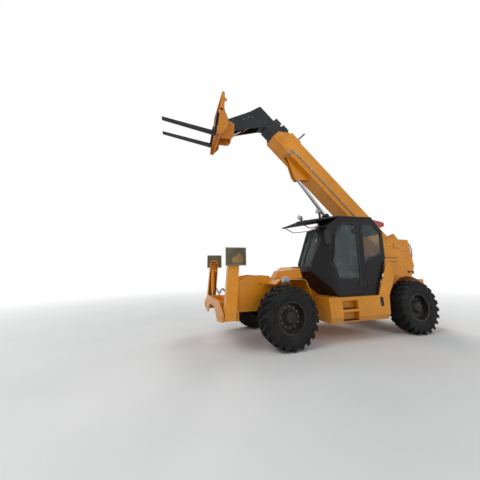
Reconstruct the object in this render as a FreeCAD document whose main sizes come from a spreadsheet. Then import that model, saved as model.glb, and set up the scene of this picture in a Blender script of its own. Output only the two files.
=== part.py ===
"""Telescopic loader with forks: four steered wheels, a four-stage boom and two front stabilizers.

Frame: +X is the machine's left, +Y its tail, +Z up, and the ground is Z = 0. Lengths are in
millimetres and angles in degrees. Outlines are drawn from the foot of the rear axle, from the
boom's pivot or from the carriage's pivot, and each sub-part's Placement carries them there.
"""
import FreeCAD, Part
import math
import os
import re

import Sketcher

# Driving sizes: alias, value, meaning
SIZES = (
    ("rear_axle_y", 2510, "from the part's origin back to the rear axle"),
    ("wheelbase", 3494, "front axle to rear axle"),
    ("drawn_base", 3494, "wheelbase that the places ahead of the rear axle are given for"),
    ("axle_z", 620, "height of both axles"),
    ("tyre_r", 620, "tyre radius at the lug tips"),
    ("tyre_w", 430, "tyre width over the lugs"),
    ("lug_count", 22, "lugs in each of a tyre's two rows"),
    ("lug_depth", 40, "height of the lugs over the middle of the tread"),
    ("lug_w", 72, "length of a lug round the tyre"),
    ("lug_sweep", 146, "how far a lug trails from the tyre's middle to its shoulder"),
    ("lug_drop", 14, "how much a lug falls towards the shoulder"),
    ("lug_over", 6, "how far the lugs stand past the sidewall"),
    ("lug_root", 520, "root of the lugs inside the tyre from the axle's line"),
    ("track_half", 1005, "middle plane of a tyre from the machine's middle"),
    ("rim_r", 330, "rim lip radius"),
    ("rim_well_r", 298, "outside radius of the rim's barrel"),
    ("rim_t", 12, "thickness of the rim's barrel"),
    ("rim_w", 370, "rim width over the lips"),
    ("disc_x", 40, "wheel disc, outboard of the tyre's middle plane"),
    ("disc_t", 18, "thickness of the wheel disc"),
    ("hub_r", 150, "radius of the planetary hub"),
    ("hub_out", 105, "nose of the hub past the disc"),
    ("hub_in", 60, "hub inboard of the disc"),
    ("spindle_r", 85, "radius of the spindle in the hub"),
    ("running_gap", 0.5, "gap of shafts that turn in a bore"),
    ("kingpin_x", 870, "kingpin from the machine's middle"),
    ("kingpin_r", 32, "kingpin radius"),
    ("pin_gap", 0.3, "gap of pins in their bores"),
    ("knuckle_h", 210, "height of a knuckle between the yoke's arms"),
    ("knuckle_r", 75, "radius of a knuckle's barrel"),
    ("yoke_t", 34, "thickness of a yoke arm"),
    ("yoke_root_x", 690, "root of a yoke from the machine's middle"),
    ("yoke_web_t", 60, "web that joins the two yoke arms"),
    ("yoke_w", 150, "width of a yoke"),
    ("seat_gap", 5, "gap between pieces that move past each other"),
    ("axle_tube_r", 88, "radius of an axle's tube"),
    ("diff_r", 190, "radius of the differential housing"),
    ("diff_w", 260, "width of the differential housing"),
    ("shaft_r", 42, "drive shaft radius"),
    ("joint_r", 70, "radius of a drive shaft's joints"),
    ("joint_w", 90, "length of a drive shaft's joints"),
    ("box_w", 420, "width of the transfer gearbox"),
    ("box_l", 460, "length of the transfer gearbox"),
    ("box_h", 420, "height of the transfer gearbox"),
    ("box_y", -1750, "middle of the transfer gearbox"),
    ("steer_arm_l", 155, "steering arm from the kingpin's axis"),
    ("steer_arm_t", 26, "thickness of a steering arm"),
    ("steer_arm_w", 70, "width of a steering arm"),
    ("steer_r", 42, "radius of the steering cylinder"),
    ("steer_rod_r", 22, "radius of the steering rod"),
    ("steer_barrel", 560, "length of the steering cylinder"),
    ("rail_x", 425, "outer face of a frame plate from the machine's middle"),
    ("rail_t", 22, "thickness of a frame plate"),
    ("floor_t", 14, "thickness of the frame's belly plates"),
    ("leg_x", 1060, "middle of a stabilizer leg from the machine's middle"),
    ("leg_w", 150, "width of a stabilizer leg across the machine"),
    ("leg_wall", 12, "wall of a stabilizer leg"),
    ("leg_pin_z", 700, "height of a stabilizer's hinge"),
    ("leg_pin_r", 34, "radius of a stabilizer's hinge pin"),
    ("beam_t", 25, "thickness of the front beam's plates"),
    ("pad_t", 26, "thickness of a stabilizer's foot pad"),
    ("pad_ear_t", 18, "thickness of a foot pad's ears"),
    ("pad_pin_r", 22, "radius of a foot pad's pin"),
    ("prop_base_x", 1010, "base pin of a stabilizer cylinder from the machine's middle"),
    ("prop_base_z", 1560, "height of that base pin"),
    ("prop_eye_x", 950, "rod pin of a stabilizer cylinder from the machine's middle"),
    ("prop_eye_z", 880, "height of that rod pin"),
    ("prop_r", 50, "radius of a stabilizer cylinder"),
    ("prop_rod_r", 28, "radius of its rod"),
    ("prop_barrel", 560, "length of a stabilizer cylinder from its base pin"),
    ("prop_pin_r", 25, "radius of its pins"),
    ("prop_y", -4715, "middle plane of both stabilizer cylinders"),
    ("tower_x", 500, "outer face of a tower plate from the machine's middle"),
    ("tower_t", 30, "thickness of a tower plate"),
    ("pivot_y", 450, "boom pivot behind the rear axle"),
    ("pivot_z", 2200, "height of the boom pivot"),
    ("pivot_r", 48, "radius of the boom's pivot pin"),
    ("pivot_tube_r", 90, "radius of the boom's pivot tube"),
    ("boom_angle", 45, "boom above the level as it stands"),
    ("boom_w", 500, "width of the outer boom"),
    ("boom_wall", 12, "wall of every boom section"),
    ("boom_low", -310, "underside of the outer boom from its pivot line"),
    ("boom_high", 260, "top of the outer boom from its pivot line"),
    ("boom_back", -330, "rear end of the outer boom along its line"),
    ("boom_front_low", 4830, "front end of the outer boom at its underside"),
    ("boom_front_high", 4530, "front end of the outer boom at its top"),
    ("mid_back", 150, "rear end of the second section"),
    ("mid_front", 4890, "front end of the second section"),
    ("inner_back", 300, "rear end of the third section"),
    ("inner_front", 5190, "front end of the third section"),
    ("head_back", 450, "rear end of the fourth section"),
    ("section_step", 30, "how much narrower each boom section is on each side"),
    ("lift_rod_l", 2000, "length of the lift rod"),
    ("tilt_rod_l", 640, "length of the tilt rod"),
    ("prop_rod_l", 560, "length of a stabilizer cylinder's rod"),
    ("eye_wall", 28, "wall round the pins of the cylinders"),
    ("tilt_eye_w", 60, "width of the tilt cylinder's eyes"),
    ("prop_eye_w", 50, "width of a stabilizer cylinder's eyes"),
    ("collar_l", 240, "length of the collars at the sections' front ends"),
    ("collar_t", 20, "thickness of those collars"),
    ("neck_wall", 20, "thickness of the boom head's side plates"),
    ("tool_s", 5855, "carriage pivot along the boom's line"),
    ("tool_t", -1103, "carriage pivot across the boom's line"),
    ("tool_pin_r", 36, "radius of the carriage's pivot pin"),
    ("tool_angle", 7, "forks above the level as they stand"),
    ("tilt_base_s", 5520, "base pin of the tilt cylinder along the boom's line"),
    ("tilt_base_t", -205, "base pin of the tilt cylinder across the boom's line"),
    ("tilt_eye_s", 5640, "rod pin of the tilt cylinder along the boom's line"),
    ("tilt_eye_t", -1215, "rod pin of the tilt cylinder across the boom's line"),
    ("tilt_r", 58, "radius of the tilt cylinder"),
    ("tilt_rod_r", 28, "radius of the tilt rod"),
    ("tilt_barrel", 660, "length of the tilt cylinder from its base pin"),
    ("tilt_pin_r", 28, "radius of the tilt cylinder's pins"),
    ("lift_base_y", 58, "base pin of the lift cylinder behind the rear axle"),
    ("lift_base_z", 1060, "height of that base pin"),
    ("lift_pin_s", 3460, "rod pin of the lift cylinder along the boom's line"),
    ("lift_pin_t", -555, "rod pin of the lift cylinder across the boom's line"),
    ("lift_r", 92, "radius of the lift cylinder"),
    ("lift_rod_r", 52, "radius of the lift rod"),
    ("lift_barrel", 2620, "length of the lift cylinder from its base pin"),
    ("lift_pin_r", 42, "radius of the lift cylinder's pins"),
    ("lift_neck_l", 125, "start of the lift cylinder's barrel from its base pin"),
    ("tilt_neck_l", 45, "start of the tilt cylinder's barrel from its base pin"),
    ("lift_eye_w", 120, "width of the lift cylinder's eyes"),
    ("lug_t", 25, "thickness of the plates that hold the lift cylinder"),
    ("plate_half", 560, "outer face of a carriage side plate from the middle"),
    ("plate_t", 22, "thickness of a carriage side plate"),
    ("bar_r", 32, "radius of the fork shaft"),
    ("hook_half", 197, "outer face of a carriage hook plate from the middle"),
    ("hook_t", 30, "thickness of a carriage hook plate"),
    ("fork_x", 317, "middle of a fork from the machine's middle"),
    ("fork_w", 140, "width of a fork"),
    ("fork_t", 60, "thickness of a fork at its heel"),
    ("fork_tip_t", 14, "thickness of a fork at its tip"),
    ("fork_l", 1390, "length of a fork from its heel's back"),
    ("fork_h", 640, "height of a fork's shank"),
    ("fork_y", -392, "back of a fork's shank from the carriage pivot"),
    ("fork_z", -520, "underside of a fork from the carriage pivot"),
    ("cab_in", 300, "inner wall of the cab from the machine's middle"),
    ("cab_out", 1130, "outer wall of the cab from the machine's middle"),
    ("cab_wall", 45, "thickness of the cab's walls and doors"),
    ("cab_corner_x", 900, "where the windscreen turns into the corner panel"),
    ("cab_corner_y", -2390, "where the corner panel meets the door side"),
    ("glass_t", 8, "thickness of the glass"),
    ("door_gap", 5, "gap round the door"),
    ("door_hinge_r", 14, "radius of the door's hinge barrels"),
    ("door_hinge_h", 110, "height of a door hinge"),
    ("hinge_low_z", 1180, "lower door hinge"),
    ("hinge_high_z", 2400, "upper door hinge"),
    ("sidebox_x", 1200, "outer face of the side box from the machine's middle"),
    ("skin_t", 10, "thickness of body panels"),
    ("step_d", 130, "depth of the steps in the side box"),
    ("fender_x", 1000, "outer edge of a fender from the machine's middle"),
    ("fender_r", 735, "outside radius of a fender round its axle"),
    ("fender_t", 9, "thickness of a fender"),
    ("hood_x", -1190, "outer face of the engine cover"),
    ("lamp_x", 1075, "middle of a headlamp from the machine's middle"),
    ("lamp_y", 28, "rear face of a headlamp behind the front axle"),
    ("lamp_z", 1349, "height of a headlamp"),
    ("lamp_r", 68, "radius of a headlamp"),
    ("lamp_l", 130, "length of a headlamp"),
    ("lamp_bezel", 18, "length of a lamp's wider front ring"),
    ("lamp_arm_t", 10, "thickness of the lamps' plates"),
    ("work_lamp_r", 54, "radius of a work lamp"),
    ("work_lamp_l", 75, "length of a work lamp"),
    ("visor_in", 360, "inner edge of the visor from the machine's middle"),
    ("visor_out", 1125, "outer edge of the visor from the machine's middle"),
    ("visor_t", 26, "thickness of the visor"),
    ("visor_rail", 50, "height of the rails along the visor's sides"),
    ("visor_bars", 5, "cross bars of the visor"),
    ("visor_bar_w", 60, "width of a cross bar"),
    ("guard_t", 16, "thickness of the guard bars under the visor"),
    ("mirror_x", 1142, "inner face of the mirror from the machine's middle"),
    ("mirror_t", 36, "thickness of the mirror"),
    ("mirror_y", -2500, "front edge of the mirror"),
    ("mirror_w", 160, "width of the mirror"),
    ("mirror_z", 2116, "lower edge of the mirror"),
    ("mirror_h", 325, "height of the mirror"),
    ("mirror_arm", 40, "width of the mirror's arm"),
    ("wiper_x", 560, "wiper arm from the machine's middle"),
    ("wiper_z", 1670, "lower end of the wiper"),
    ("wiper_l", 560, "height of the wiper"),
    ("wiper_t", 8, "thickness of the wiper"),
    ("handle_y", -2335, "front end of the door's handle"),
    ("handle_z", 1560, "height of that handle"),
    ("handle_l", 110, "length of that handle"),
    ("handle_t", 22, "thickness of that handle"),
    ("pipe_x", 263, "middle of the boom's pipes from the machine's middle"),
    ("pipe_r", 9, "radius of those pipes"),
    ("pipe_t", -132, "upper pipe from the boom's line"),
    ("pipe_step", 28, "lower pipe below the upper one"),
    ("pipe_back", 640, "rear end of the pipes along the boom's line"),
    ("pipe_front", 4060, "front end of the pipes along the boom's line"),
    ("clamp_count", 6, "clamps that hold the pipes"),
    ("clamp_l", 46, "length of a clamp"),
    ("spike_s", 4260, "rod on the boom's front end along the boom's line"),
    ("spike_h", 900, "top of that rod from the boom's line"),
    ("spike_r", 11, "radius of that rod"),
    ("cover_half", 190, "half width of the cover on the boom's tail"),
    ("saddle_half", 200, "outer face of the boom tail's bracket plates from the middle"),
    ("saddle_t", 24, "thickness of those plates"),
    ("port_r", 20, "radius of the small holes in the plates"),
    ("keyhole_r", 40, "radius of the keyholes"),
    ("keyhole_slot", 16, "half height of their slots"),
    ("groove_d", 5, "depth of the grooves in the tower plates"),
    ("groove_h", 14, "height of those grooves"),
    ("vent_count", 9, "slots in the engine cover"),
    ("vent_y", -2080, "front slot in the engine cover"),
    ("vent_pitch", 105, "from one slot to the next"),
    ("vent_w", 34, "width of a slot"),
    ("vent_z", 960, "lower end of the slots"),
    ("vent_h", 420, "height of the slots"),
    ("tail_y", 1250, "rear face of the tail weight behind the rear axle"),
    ("tail_l", 270, "length of the tail weight"),
    ("tail_half", 520, "half width of the tail weight"),
    ("hitch_r", 20, "radius of the tow pin's bore"),
    ("diff_set", 90, "differential housing from the axle's line towards the drive shaft"),
    ("snout_l", 80, "neck between the differential and the drive shaft"),
    ("saddle_w", 74, "width of the saddles under the frame plates"),
    ("steer_eye_t", 36, "thickness of the steering rod's eyes"),
    ("hub_nose_r", 110, "radius of the hub's nose"),
    ("spindle_root_r", 100, "radius of the spindle's root"),
    ("tyre_shoulder", 64, "edge of the tread below the lug tips"),
    ("pin_head", 10, "how far a pin stands out of its plate"),
    ("soft_r", 25, "common corner radius of plates"),
    ("sweep_r", 120, "wide corner radius of plates"),
    ("deck_rise", 90, "front deck above the front wheel arch"),
    ("deck_drop", 230, "rear deck below the frame's top"),
    ("lug_foot", 110, "half length of the lift cylinder's base plates"),
    ("tower_wall_y", 930, "rear wall between the tower plates"),
    ("tower_wall_z", 1480, "lower edge of that wall"),
    ("tower_wall_h", 560, "height of that wall"),
    ("lift_gap_x", 150, "half width of the opening for the lift cylinder"),
    ("lift_gap_y", 180, "rear end of that opening"),
    ("tail_low_z", 620, "underside of the tail weight"),
    ("tail_high_z", 1230, "top of the tail weight"),
    ("hitch_set", 95, "tow pin's bore ahead of the tail's rear face"),
    ("hitch_half", 140, "half width of the tow recess"),
    ("hitch_low_z", 700, "floor of the tow recess"),
    ("hitch_high_z", 880, "top of the tow recess's upper plate"),
    ("hitch_t", 40, "thickness of that plate"),
    ("leg_ear", 75, "front beam round the hinges of the legs"),
    ("leg_play", 10, "gap between the legs and the front beam"),
    ("beam_half", 1125, "half length of the front beam"),
    ("arch_half", 600, "half width of the arch under the front beam"),
    ("beam_low_z", 560, "feet of that arch"),
    ("beam_arch_z", 800, "crown of that arch"),
    ("beam_high_z", 960, "top of the front beam"),
    ("rib_x", 700, "ribs inside the front beam from the machine's middle"),
    ("prop_lug_r", 48, "radius of the lugs that hold the stabilizer rods"),
    ("prop_pin_set", 80, "front end of a stabilizer cylinder's base pin from its middle plane"),
    ("prop_pin_l", 218, "length of that pin"),
    ("pad_pin_x", 1090, "hinge of a foot pad from the machine's middle"),
    ("pad_pin_z", 1833, "height of that hinge"),
    ("pad_eye_r", 30, "radius of the ears at that hinge"),
    ("boom_front_t", -40, "lower end of the outer boom's slanted front edge"),
    ("mouth_l", 100, "length of the guides at a section's mouth and tail"),
    ("crest_h", 60, "height of the ridge on the outer boom's front end"),
    ("crest_l", 400, "length of that ridge"),
    ("collar_top", 310, "top of the sections' collars from the boom's line"),
    ("neck_root_s", 5200, "start of the boom head along the boom's line"),
    ("neck_tip_r", 120, "rounding of the boom head's tip"),
    ("neck_open", 250, "how far the boom head's cut reaches past its open side"),
    ("tool_boss_r", 54, "tube round the carriage's pivot pin"),
    ("back_plate_y", -275, "rear face of the carriage's cross plate"),
    ("back_plate_z", 150, "upper edge of that plate"),
    ("top_bar_z", 600, "underside of the carriage's top bar"),
    ("top_bar_h", 60, "height of that bar"),
    ("low_bar_z", -480, "underside of the bar that the forks lean on"),
    ("low_bar_h", 100, "height of that bar"),
    ("lug_half", 60, "half height of the tilt rod's lugs"),
    ("shaft_y", -360, "fork shaft from the carriage pivot"),
    ("shaft_z", 120, "height of the fork shaft above the carriage pivot"),
    ("fork_eye_wall", 18, "wall of a fork's eye"),
    ("fork_shank_t", 60, "thickness of a fork's shank"),
    ("fork_round", 45, "inner radius of a fork's heel"),
    ("cab_round", 60, "corner radius of the cab's roof"),
    ("door_t", 45, "thickness of the door"),
    ("door_skin", 10, "thickness of the hinge straps"),
    ("hinge_y", -1418, "axis of the door's hinges"),
    ("post_w", 70, "width of the cab's posts"),
    ("screen_depth", 620, "how deep the windscreen opening is cut"),
    ("screen_in", 18, "windscreen behind the cab's face"),
    ("roof_t", 38, "thickness of the roof slab"),
    ("skirt_in", 60, "slant under the side box"),
    ("skirt_h", 110, "height of that slant"),
    ("step_y", -2260, "front end of the steps"),
    ("step_l", 420, "length of the steps"),
    ("step_h", 180, "height of a step's opening"),
    ("step_low_z", 470, "floor of the lower step"),
    ("step_high_z", 700, "floor of the upper step"),
    ("wing_t", 14, "thickness of the panel behind the side box"),
    ("engine_y", -2150, "front end of the engine"),
    ("engine_l", 1050, "length of the engine"),
    ("engine_w", 560, "width of the engine"),
    ("engine_z", 680, "underside of the engine"),
    ("engine_h", 700, "height of the engine"),
    ("seat_x", 700, "middle of the seat from the machine's middle"),
    ("seat_y", -1600, "front edge of the seat"),
    ("seat_w", 480, "width of the seat"),
    ("seat_l", 460, "length of the seat's cushion"),
    ("seat_z", 1480, "top of the seat's cushion"),
    ("seat_t", 110, "thickness of the cushions"),
    ("back_h", 620, "height of the seat's back"),
    ("wheel_y", -1960, "middle of the steering wheel"),
    ("wheel_z", 1640, "height of the steering wheel"),
    ("wheel_r", 190, "radius of the steering wheel"),
    ("wheel_rim_r", 16, "radius of its rim"),
    ("wheel_tilt", 20, "steering wheel's slant from the level"),
    ("cowl_x", 640, "outer face of the front cowl from the machine's middle"),
)

# Outline corners in the side view: name, y, z. The machine's are measured from the foot of the
# rear axle, the boom's from its pivot along its line (forward is minus), the carriage's from
# the carriage pivot and the front fender's from the foot of the front axle.
STATIONS = (
    # frame plates
    ("rail_nose_low", -4400, 670), ("rail_nose_high", -4370, 1290), ("rail_arc_a", -4190, 1410),
    ("rail_crown", -3880, 1450), ("rail_step", -3610, 1425), ("rail_step_low", -3590, 1358),
    ("rail_cowl_low", -2850, 1358),
    ("rail_cowl", -3470, 1530), ("rail_cowl_back", -2900, 1595),
    ("rail_top_mid", -2300, 950), ("rail_waist_rear", -1140, 950), ("rail_waist_up", -1040, 1130),
    ("rail_top_back", -300, 1130), ("rail_tail_high", 980, 1130),
    ("rail_tail_low", 980, 760), ("rail_rear_arch_b", 420, 740), ("rail_rear_arch_a", -420, 740),
    ("rail_belly_b", -640, 470), ("rail_belly_a", -2850, 470), ("rail_front_arch_b", -3070, 740),
    ("rail_front_arch_a", -3900, 740), ("rail_chin", -3960, 670),
    # tower plates
    ("tower_foot_a", -180, 1000), ("tower_front_low", -70, 1700), ("tower_front_high", -30, 2310),
    ("tower_crown_a", 240, 2400), ("tower_crown_b", 980, 2380), ("tower_back", 1035, 1600),
    ("tower_foot_c", 860, 1330), ("tower_foot_b", 820, 1000),
    # cab
    ("cab_roof_front", -2030, 2780), ("cab_roof_rear", -980, 2800), ("cab_high_rear", -720, 2480),
    ("cab_wide_rear", -760, 1800), ("cab_low_rear", -1180, 950), ("cab_low_front", -2250, 950),
    ("cab_nose_low", -2740, 1500), ("cab_nose_high", -2780, 1600), ("cab_brow", -2385, 2560),
    # door opening
    ("door_roof_front", -1960, 2700), ("door_roof_rear", -1430, 2712), ("door_low_rear", -1590, 990),
    ("door_low_front", -2215, 990), ("door_front_low", -2385, 1700), ("door_front_high", -2235, 2380),
    # door window
    ("pane_roof_front", -1950, 2625), ("pane_roof_rear", -1505, 2632), ("pane_low_rear", -1600, 1330),
    ("pane_low_front", -2200, 1330), ("pane_front_low", -2300, 1720), ("pane_front_high", -2175, 2350),
    # rear quarter window
    ("quarter_roof_front", -1345, 2640), ("quarter_roof_rear", -1000, 2665),
    ("quarter_high_rear", -795, 2430), ("quarter_low_rear", -815, 1940),
    ("quarter_low_front", -1420, 1700),
    # side box and rear panel
    ("sill_front_high", -2600, 950), ("sill_rear_high", -1210, 950), ("wing_front", -800, 1740),
    ("wing_rear", -660, 1690), ("wing_mid", -665, 1340), ("sill_notch", -905, 930),
    ("sill_rear_low", -970, 430), ("sill_front_low", -2560, 430),
    # stabilizer leg, seen from the side
    ("leg_low_front", -4870, 640), ("leg_low_rear", -4640, 640), ("leg_high_rear", -4559, 1780),
    ("leg_high_front", -4778, 1780), ("pad_low_front", -4850, 1655), ("pad_high_rear", -4430, 2010),
    # visor, its guard bars and its work lamps
    ("visor_tip", -3156, 2586), ("visor_root", -2030, 2788), ("guard_tip", -3090, 2580),
    ("guard_chin", -2849, 2481), ("guard_back", -2410, 2540), ("work_lamp_a", -3017, 2732),
    ("work_lamp_b", -2500, 2912),
    # holes in the frame, tower and side box
    ("frame_keyhole", -3855, 1242), ("frame_keyhole_end", -3627, 1242), ("tower_port_a", 217, 2172),
    ("tower_port_b", 819, 2298), ("tower_port_c", 732, 1833), ("tower_keyhole", 767, 1445),
    ("tower_keyhole_end", 1100, 1445), ("groove_high", -30, 1844), ("groove_high_end", 443, 1844),
    ("groove_low", -44, 1728), ("groove_low_end", 398, 1728), ("box_slot", -1183, 730),
    ("box_slot_end", -1130, 900),
    # engine cover
    ("hood_low_front", -2700, 560), ("hood_high_front", -2700, 1500), ("hood_crown_front", -2480, 1640),
    ("hood_crown_rear", -1000, 1640), ("hood_high_rear", -830, 1480), ("hood_low_rear", -900, 560),
    # boom head
    ("neck_crown", -5790, 130), ("neck_bend", -5850, -260),
    ("neck_tip_high", -6045, -1000), ("neck_tip", -6000, -1260), ("neck_tip_low", -5720, -1270),
    ("neck_throat", -5600, -960), ("neck_armpit", -5290, -330),
    # cover and bracket on the boom's tail
    ("cover_front", -849, 334), ("cover_crown", -486, 598), ("cover_rear", -403, 519),
    ("cover_foot", -527, 260), ("saddle_front", -180, 260), ("saddle_tip_a", -16, 577),
    ("saddle_tip_b", 206, 546), ("saddle_rear", 260, 260),
    # front fender, from the foot of the front axle
    ("fender_tip", -246, 1262), ("fender_crown_a", -106, 1355), ("fender_crown_b", 509, 1355),
    ("fender_foot", 632, 1020),
    # lift bracket under the boom
    ("bracket_front", -4290, -300), ("bracket_chin", -3900, -430), ("bracket_low_a", -3540, -640),
    ("bracket_low_b", -3400, -655), ("bracket_rear", -3120, -300),
    # carriage side plate
    ("plate_top_front", -420, 690), ("plate_top_rear", -345, 690), ("plate_lug_high", -320, 530),
    ("plate_lug_tip", -235, 470), ("plate_lug_low", -310, 370), ("plate_waist", -285, 140),
    ("plate_rear", -150, -110), ("plate_rear_low", -150, -420), ("plate_foot_rear", -300, -640),
    ("plate_foot_front", -380, -640),
    # carriage hook plate
    ("hook_front_high", -300, 160), ("hook_pivot_front", -110, 110), ("hook_pivot_rear", 100, 70),
    ("hook_chin", 130, -330), ("hook_low_rear", 60, -440), ("hook_low_front", -300, -500),
)

# What stands on the machine itself ahead of the rear axle moves with the wheelbase
MACHINE_GROUPS = ("rail_", "tower_", "cab_", "door_", "pane_", "quarter_", "sill_", "wing_", "leg_",
                  "pad_", "hood_", "visor_", "guard_", "work_", "frame_", "groove_", "box_")
MACHINE_SIZES = ("box_y", "prop_y", "cab_corner_y", "hinge_y", "step_y", "engine_y", "engine_l",
                 "seat_y", "wheel_y", "mirror_y", "handle_y", "vent_y")


def put(row, alias, value, meaning):
    """One named size in the sheet."""
    sheet.set("A%d" % row, meaning)
    sheet.set("B%d" % row, str(value))
    sheet.setAlias("B%d" % row, alias)


def cell(word):
    """A size's name as the sheet's cell, or for a place that moves its share of the wheelbase."""
    name = word.group()
    if name in MOVING:
        return "(Sizes.%s * Sizes.wheelbase / Sizes.drawn_base)" % name
    return "Sizes." + name if name in NAMES else name


def bound(text):
    """The expression with each size's name led back to the sheet."""
    return re.sub(r"[A-Za-z_]\w*", cell, str(text))


def size(text):
    """The expression's value now."""
    value = sheet.evalExpression(bound(text))
    return float(getattr(value, "Value", value))


def tie(thing, **sizes):
    """Bind properties to expressions; a double underscore stands for a dot."""
    for name, text in sizes.items():
        thing.setExpression(name.replace("__", "."), bound(text))


def world(y, z, angle, ahead, up):
    """The machine's y and z of a point that a turned frame sees at (ahead, up)."""
    return ("(%s) + (%s) * cos(%s) + (%s) * sin(%s)" % (y, ahead, angle, up, angle),
            "(%s) - (%s) * sin(%s) + (%s) * cos(%s)" % (z, ahead, angle, up, angle))


def slope(low, high):
    """How far the line from one point to a point ahead of it rises above the level."""
    return "atan2((%s) - (%s); (%s) - (%s))" % (high[1], low[1], low[0], high[0])


def span(low, high):
    """The distance between two points of the side view."""
    return "sqrt(((%s) - (%s)) ^ 2 + ((%s) - (%s)) ^ 2)" % (high[0], low[0], high[1], low[1])


MACHINE = ("0", "0", "0")
BOOM = ("pivot_y", "pivot_z", "boom_angle")
TOOL = world(*BOOM, "-tool_s", "tool_t") + ("tool_angle",)
LIFT_BASE = ("lift_base_y", "lift_base_z")
LIFT_EYE = world(*BOOM, "-lift_pin_s", "lift_pin_t")
LIFT = LIFT_BASE + (slope(LIFT_BASE, LIFT_EYE),)
TILT_BASE = world(*BOOM, "-tilt_base_s", "tilt_base_t")
TILT_EYE = world(*BOOM, "-tilt_eye_s", "tilt_eye_t")
TILT = TILT_BASE + (slope(TILT_BASE, TILT_EYE),)


def stand(thing, frame):
    """Place a piece in one of the side view's frames."""
    thing.Placement = FreeCAD.Placement(FreeCAD.Vector(), FreeCAD.Rotation(FreeCAD.Vector(1, 0, 0), 1))
    tie(thing, Placement__Base__y="rear_axle_y + (%s)" % frame[0], Placement__Base__z=frame[1],
        Placement__Rotation__Angle="-(%s)" % frame[2])
    return thing


def body(name, frame=MACHINE):
    """An empty body in one of the frames."""
    return stand(doc.addObject("PartDesign::Body", name), frame)


def corner(point):
    """A corner as its two expressions and its radius."""
    if isinstance(point, str):
        words = point.split()
        return (words[0] + "_y", words[0] + "_z", words[1] if len(words) > 1 else None)
    return (point + (None,))[:3]


def tangent_points(before, here, after, radius):
    """Where an arc of this radius leaves and meets the two sides of a corner, and its middle."""
    to_before = (before - here).normalize()
    to_after = (after - here).normalize()
    half = to_before.getAngle(to_after) / 2
    reach = radius / math.tan(half)
    middle = here + (to_before + to_after).normalize() * (radius / math.sin(half))
    return here + to_before * reach, here + to_after * reach, middle


def grow(corners, gap):
    """The same outline with every side moved outwards by a gap, or inwards by a negative one."""
    names = [corner(point) for point in corners]
    spots = [FreeCAD.Vector(size(a), size(b)) for a, b, _ in names]
    count = len(spots)
    area = sum(spots[i - 1].x * spots[i].y - spots[i].x * spots[i - 1].y for i in range(count))
    turn = 1 if area > 0 else -1
    normals = []
    for i in range(count):
        side = spots[(i + 1) % count] - spots[i]
        normals.append(FreeCAD.Vector(side.y, -side.x).normalize() * turn)
    grown = []
    for i, (a, b, radius) in enumerate(names):
        push = (normals[i - 1] + normals[i]) * (1 / (1 + normals[i - 1].dot(normals[i])))
        grown.append(("%s + %.6f * (%s)" % (a, push.x, gap), "%s + %.6f * (%s)" % (b, push.y, gap), radius))
    return grown


def ring(across, up, radius):
    """A circle for a sketch."""
    return ("ring", across, up, radius)


def box(across_a, across_b, up_a, up_b):
    """A rectangle for a sketch."""
    return [(across_a, up_a), (across_b, up_a), (across_b, up_b), (across_a, up_b)]


def draw_ring(drawing, loop):
    """One circle, held by its middle and its radius."""
    _, across, up, radius = loop
    circle = Part.Circle(FreeCAD.Vector(size(across), size(up)), FreeCAD.Vector(0, 0, 1), size(radius))
    at = drawing.addGeometry(circle)
    return [("Radius", (at,), radius), ("DistanceX", (at, 3), across), ("DistanceY", (at, 3), up)], []


def draw_outline(drawing, loop):
    """One closed outline of lines, with tangent arcs where a corner names a radius."""
    corners = [corner(point) for point in loop]
    spots = [FreeCAD.Vector(size(a), size(b)) for a, b, _ in corners]
    count = len(spots)
    arcs = {}
    for i, (_, _, radius) in enumerate(corners):
        if radius is not None:
            arcs[i] = tangent_points(spots[i - 1], spots[i], spots[(i + 1) % count], size(radius))
    sizes, links, lines = [], [], []
    for i in range(count):
        start = arcs[i][1] if i in arcs else spots[i]
        end = arcs[(i + 1) % count][0] if (i + 1) % count in arcs else spots[(i + 1) % count]
        lines.append(drawing.addGeometry(Part.LineSegment(start, end)))
    for i, (across, up, radius) in enumerate(corners):
        if i not in arcs:
            links.append(Sketcher.Constraint("Coincident", lines[i - 1], 2, lines[i], 1))
            sizes += [("DistanceX", (lines[i], 1), across), ("DistanceY", (lines[i], 1), up)]
            continue
        leave, meet, middle = arcs[i]
        left_turn = (spots[i] - spots[i - 1]).cross(spots[(i + 1) % count] - spots[i]).z > 0
        first, last = (leave, meet) if left_turn else (meet, leave)
        circle = Part.Circle(middle, FreeCAD.Vector(0, 0, 1), size(radius))
        angles = [math.atan2(end.y - middle.y, end.x - middle.x) for end in (first, last)]
        if angles[1] < angles[0]:
            angles[1] += 2 * math.pi
        arc = drawing.addGeometry(Part.ArcOfCircle(circle, *angles))
        mark = drawing.addGeometry(Part.Point(spots[i]), True)
        near, far = (1, 2) if left_turn else (2, 1)
        links += [Sketcher.Constraint("Tangent", lines[i - 1], 2, arc, near),
                  Sketcher.Constraint("Tangent", arc, far, lines[i], 1),
                  Sketcher.Constraint("PointOnObject", mark, 1, lines[i - 1]),
                  Sketcher.Constraint("PointOnObject", mark, 1, lines[i])]
        sizes += [("Radius", (arc,), radius), ("DistanceX", (mark, 1), across), ("DistanceY", (mark, 1), up)]
    return sizes, links


def sketch(part, plane, loops, offset):
    """A sketch of closed outlines, parallel to one of the body's own planes."""
    drawing = part.newObject("Sketcher::SketchObject", part.Name + "_outline")
    origin = next(item for item in part.Origin.OriginFeatures if item.Role == plane)
    drawing.AttachmentSupport = (origin, "")
    drawing.MapMode = "FlatFace"
    tie(drawing, AttachmentOffset__Base__z=offset)
    for loop in loops:
        sizes, links = (draw_ring if loop[0] == "ring" else draw_outline)(drawing, loop)
        drawing.addConstraint(links)
        for kind, where, text in sizes:
            number = drawing.addConstraint(Sketcher.Constraint(kind, *where, size(text)))
            drawing.setExpression("Constraints[%d]" % number, bound(text))
    return drawing


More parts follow.
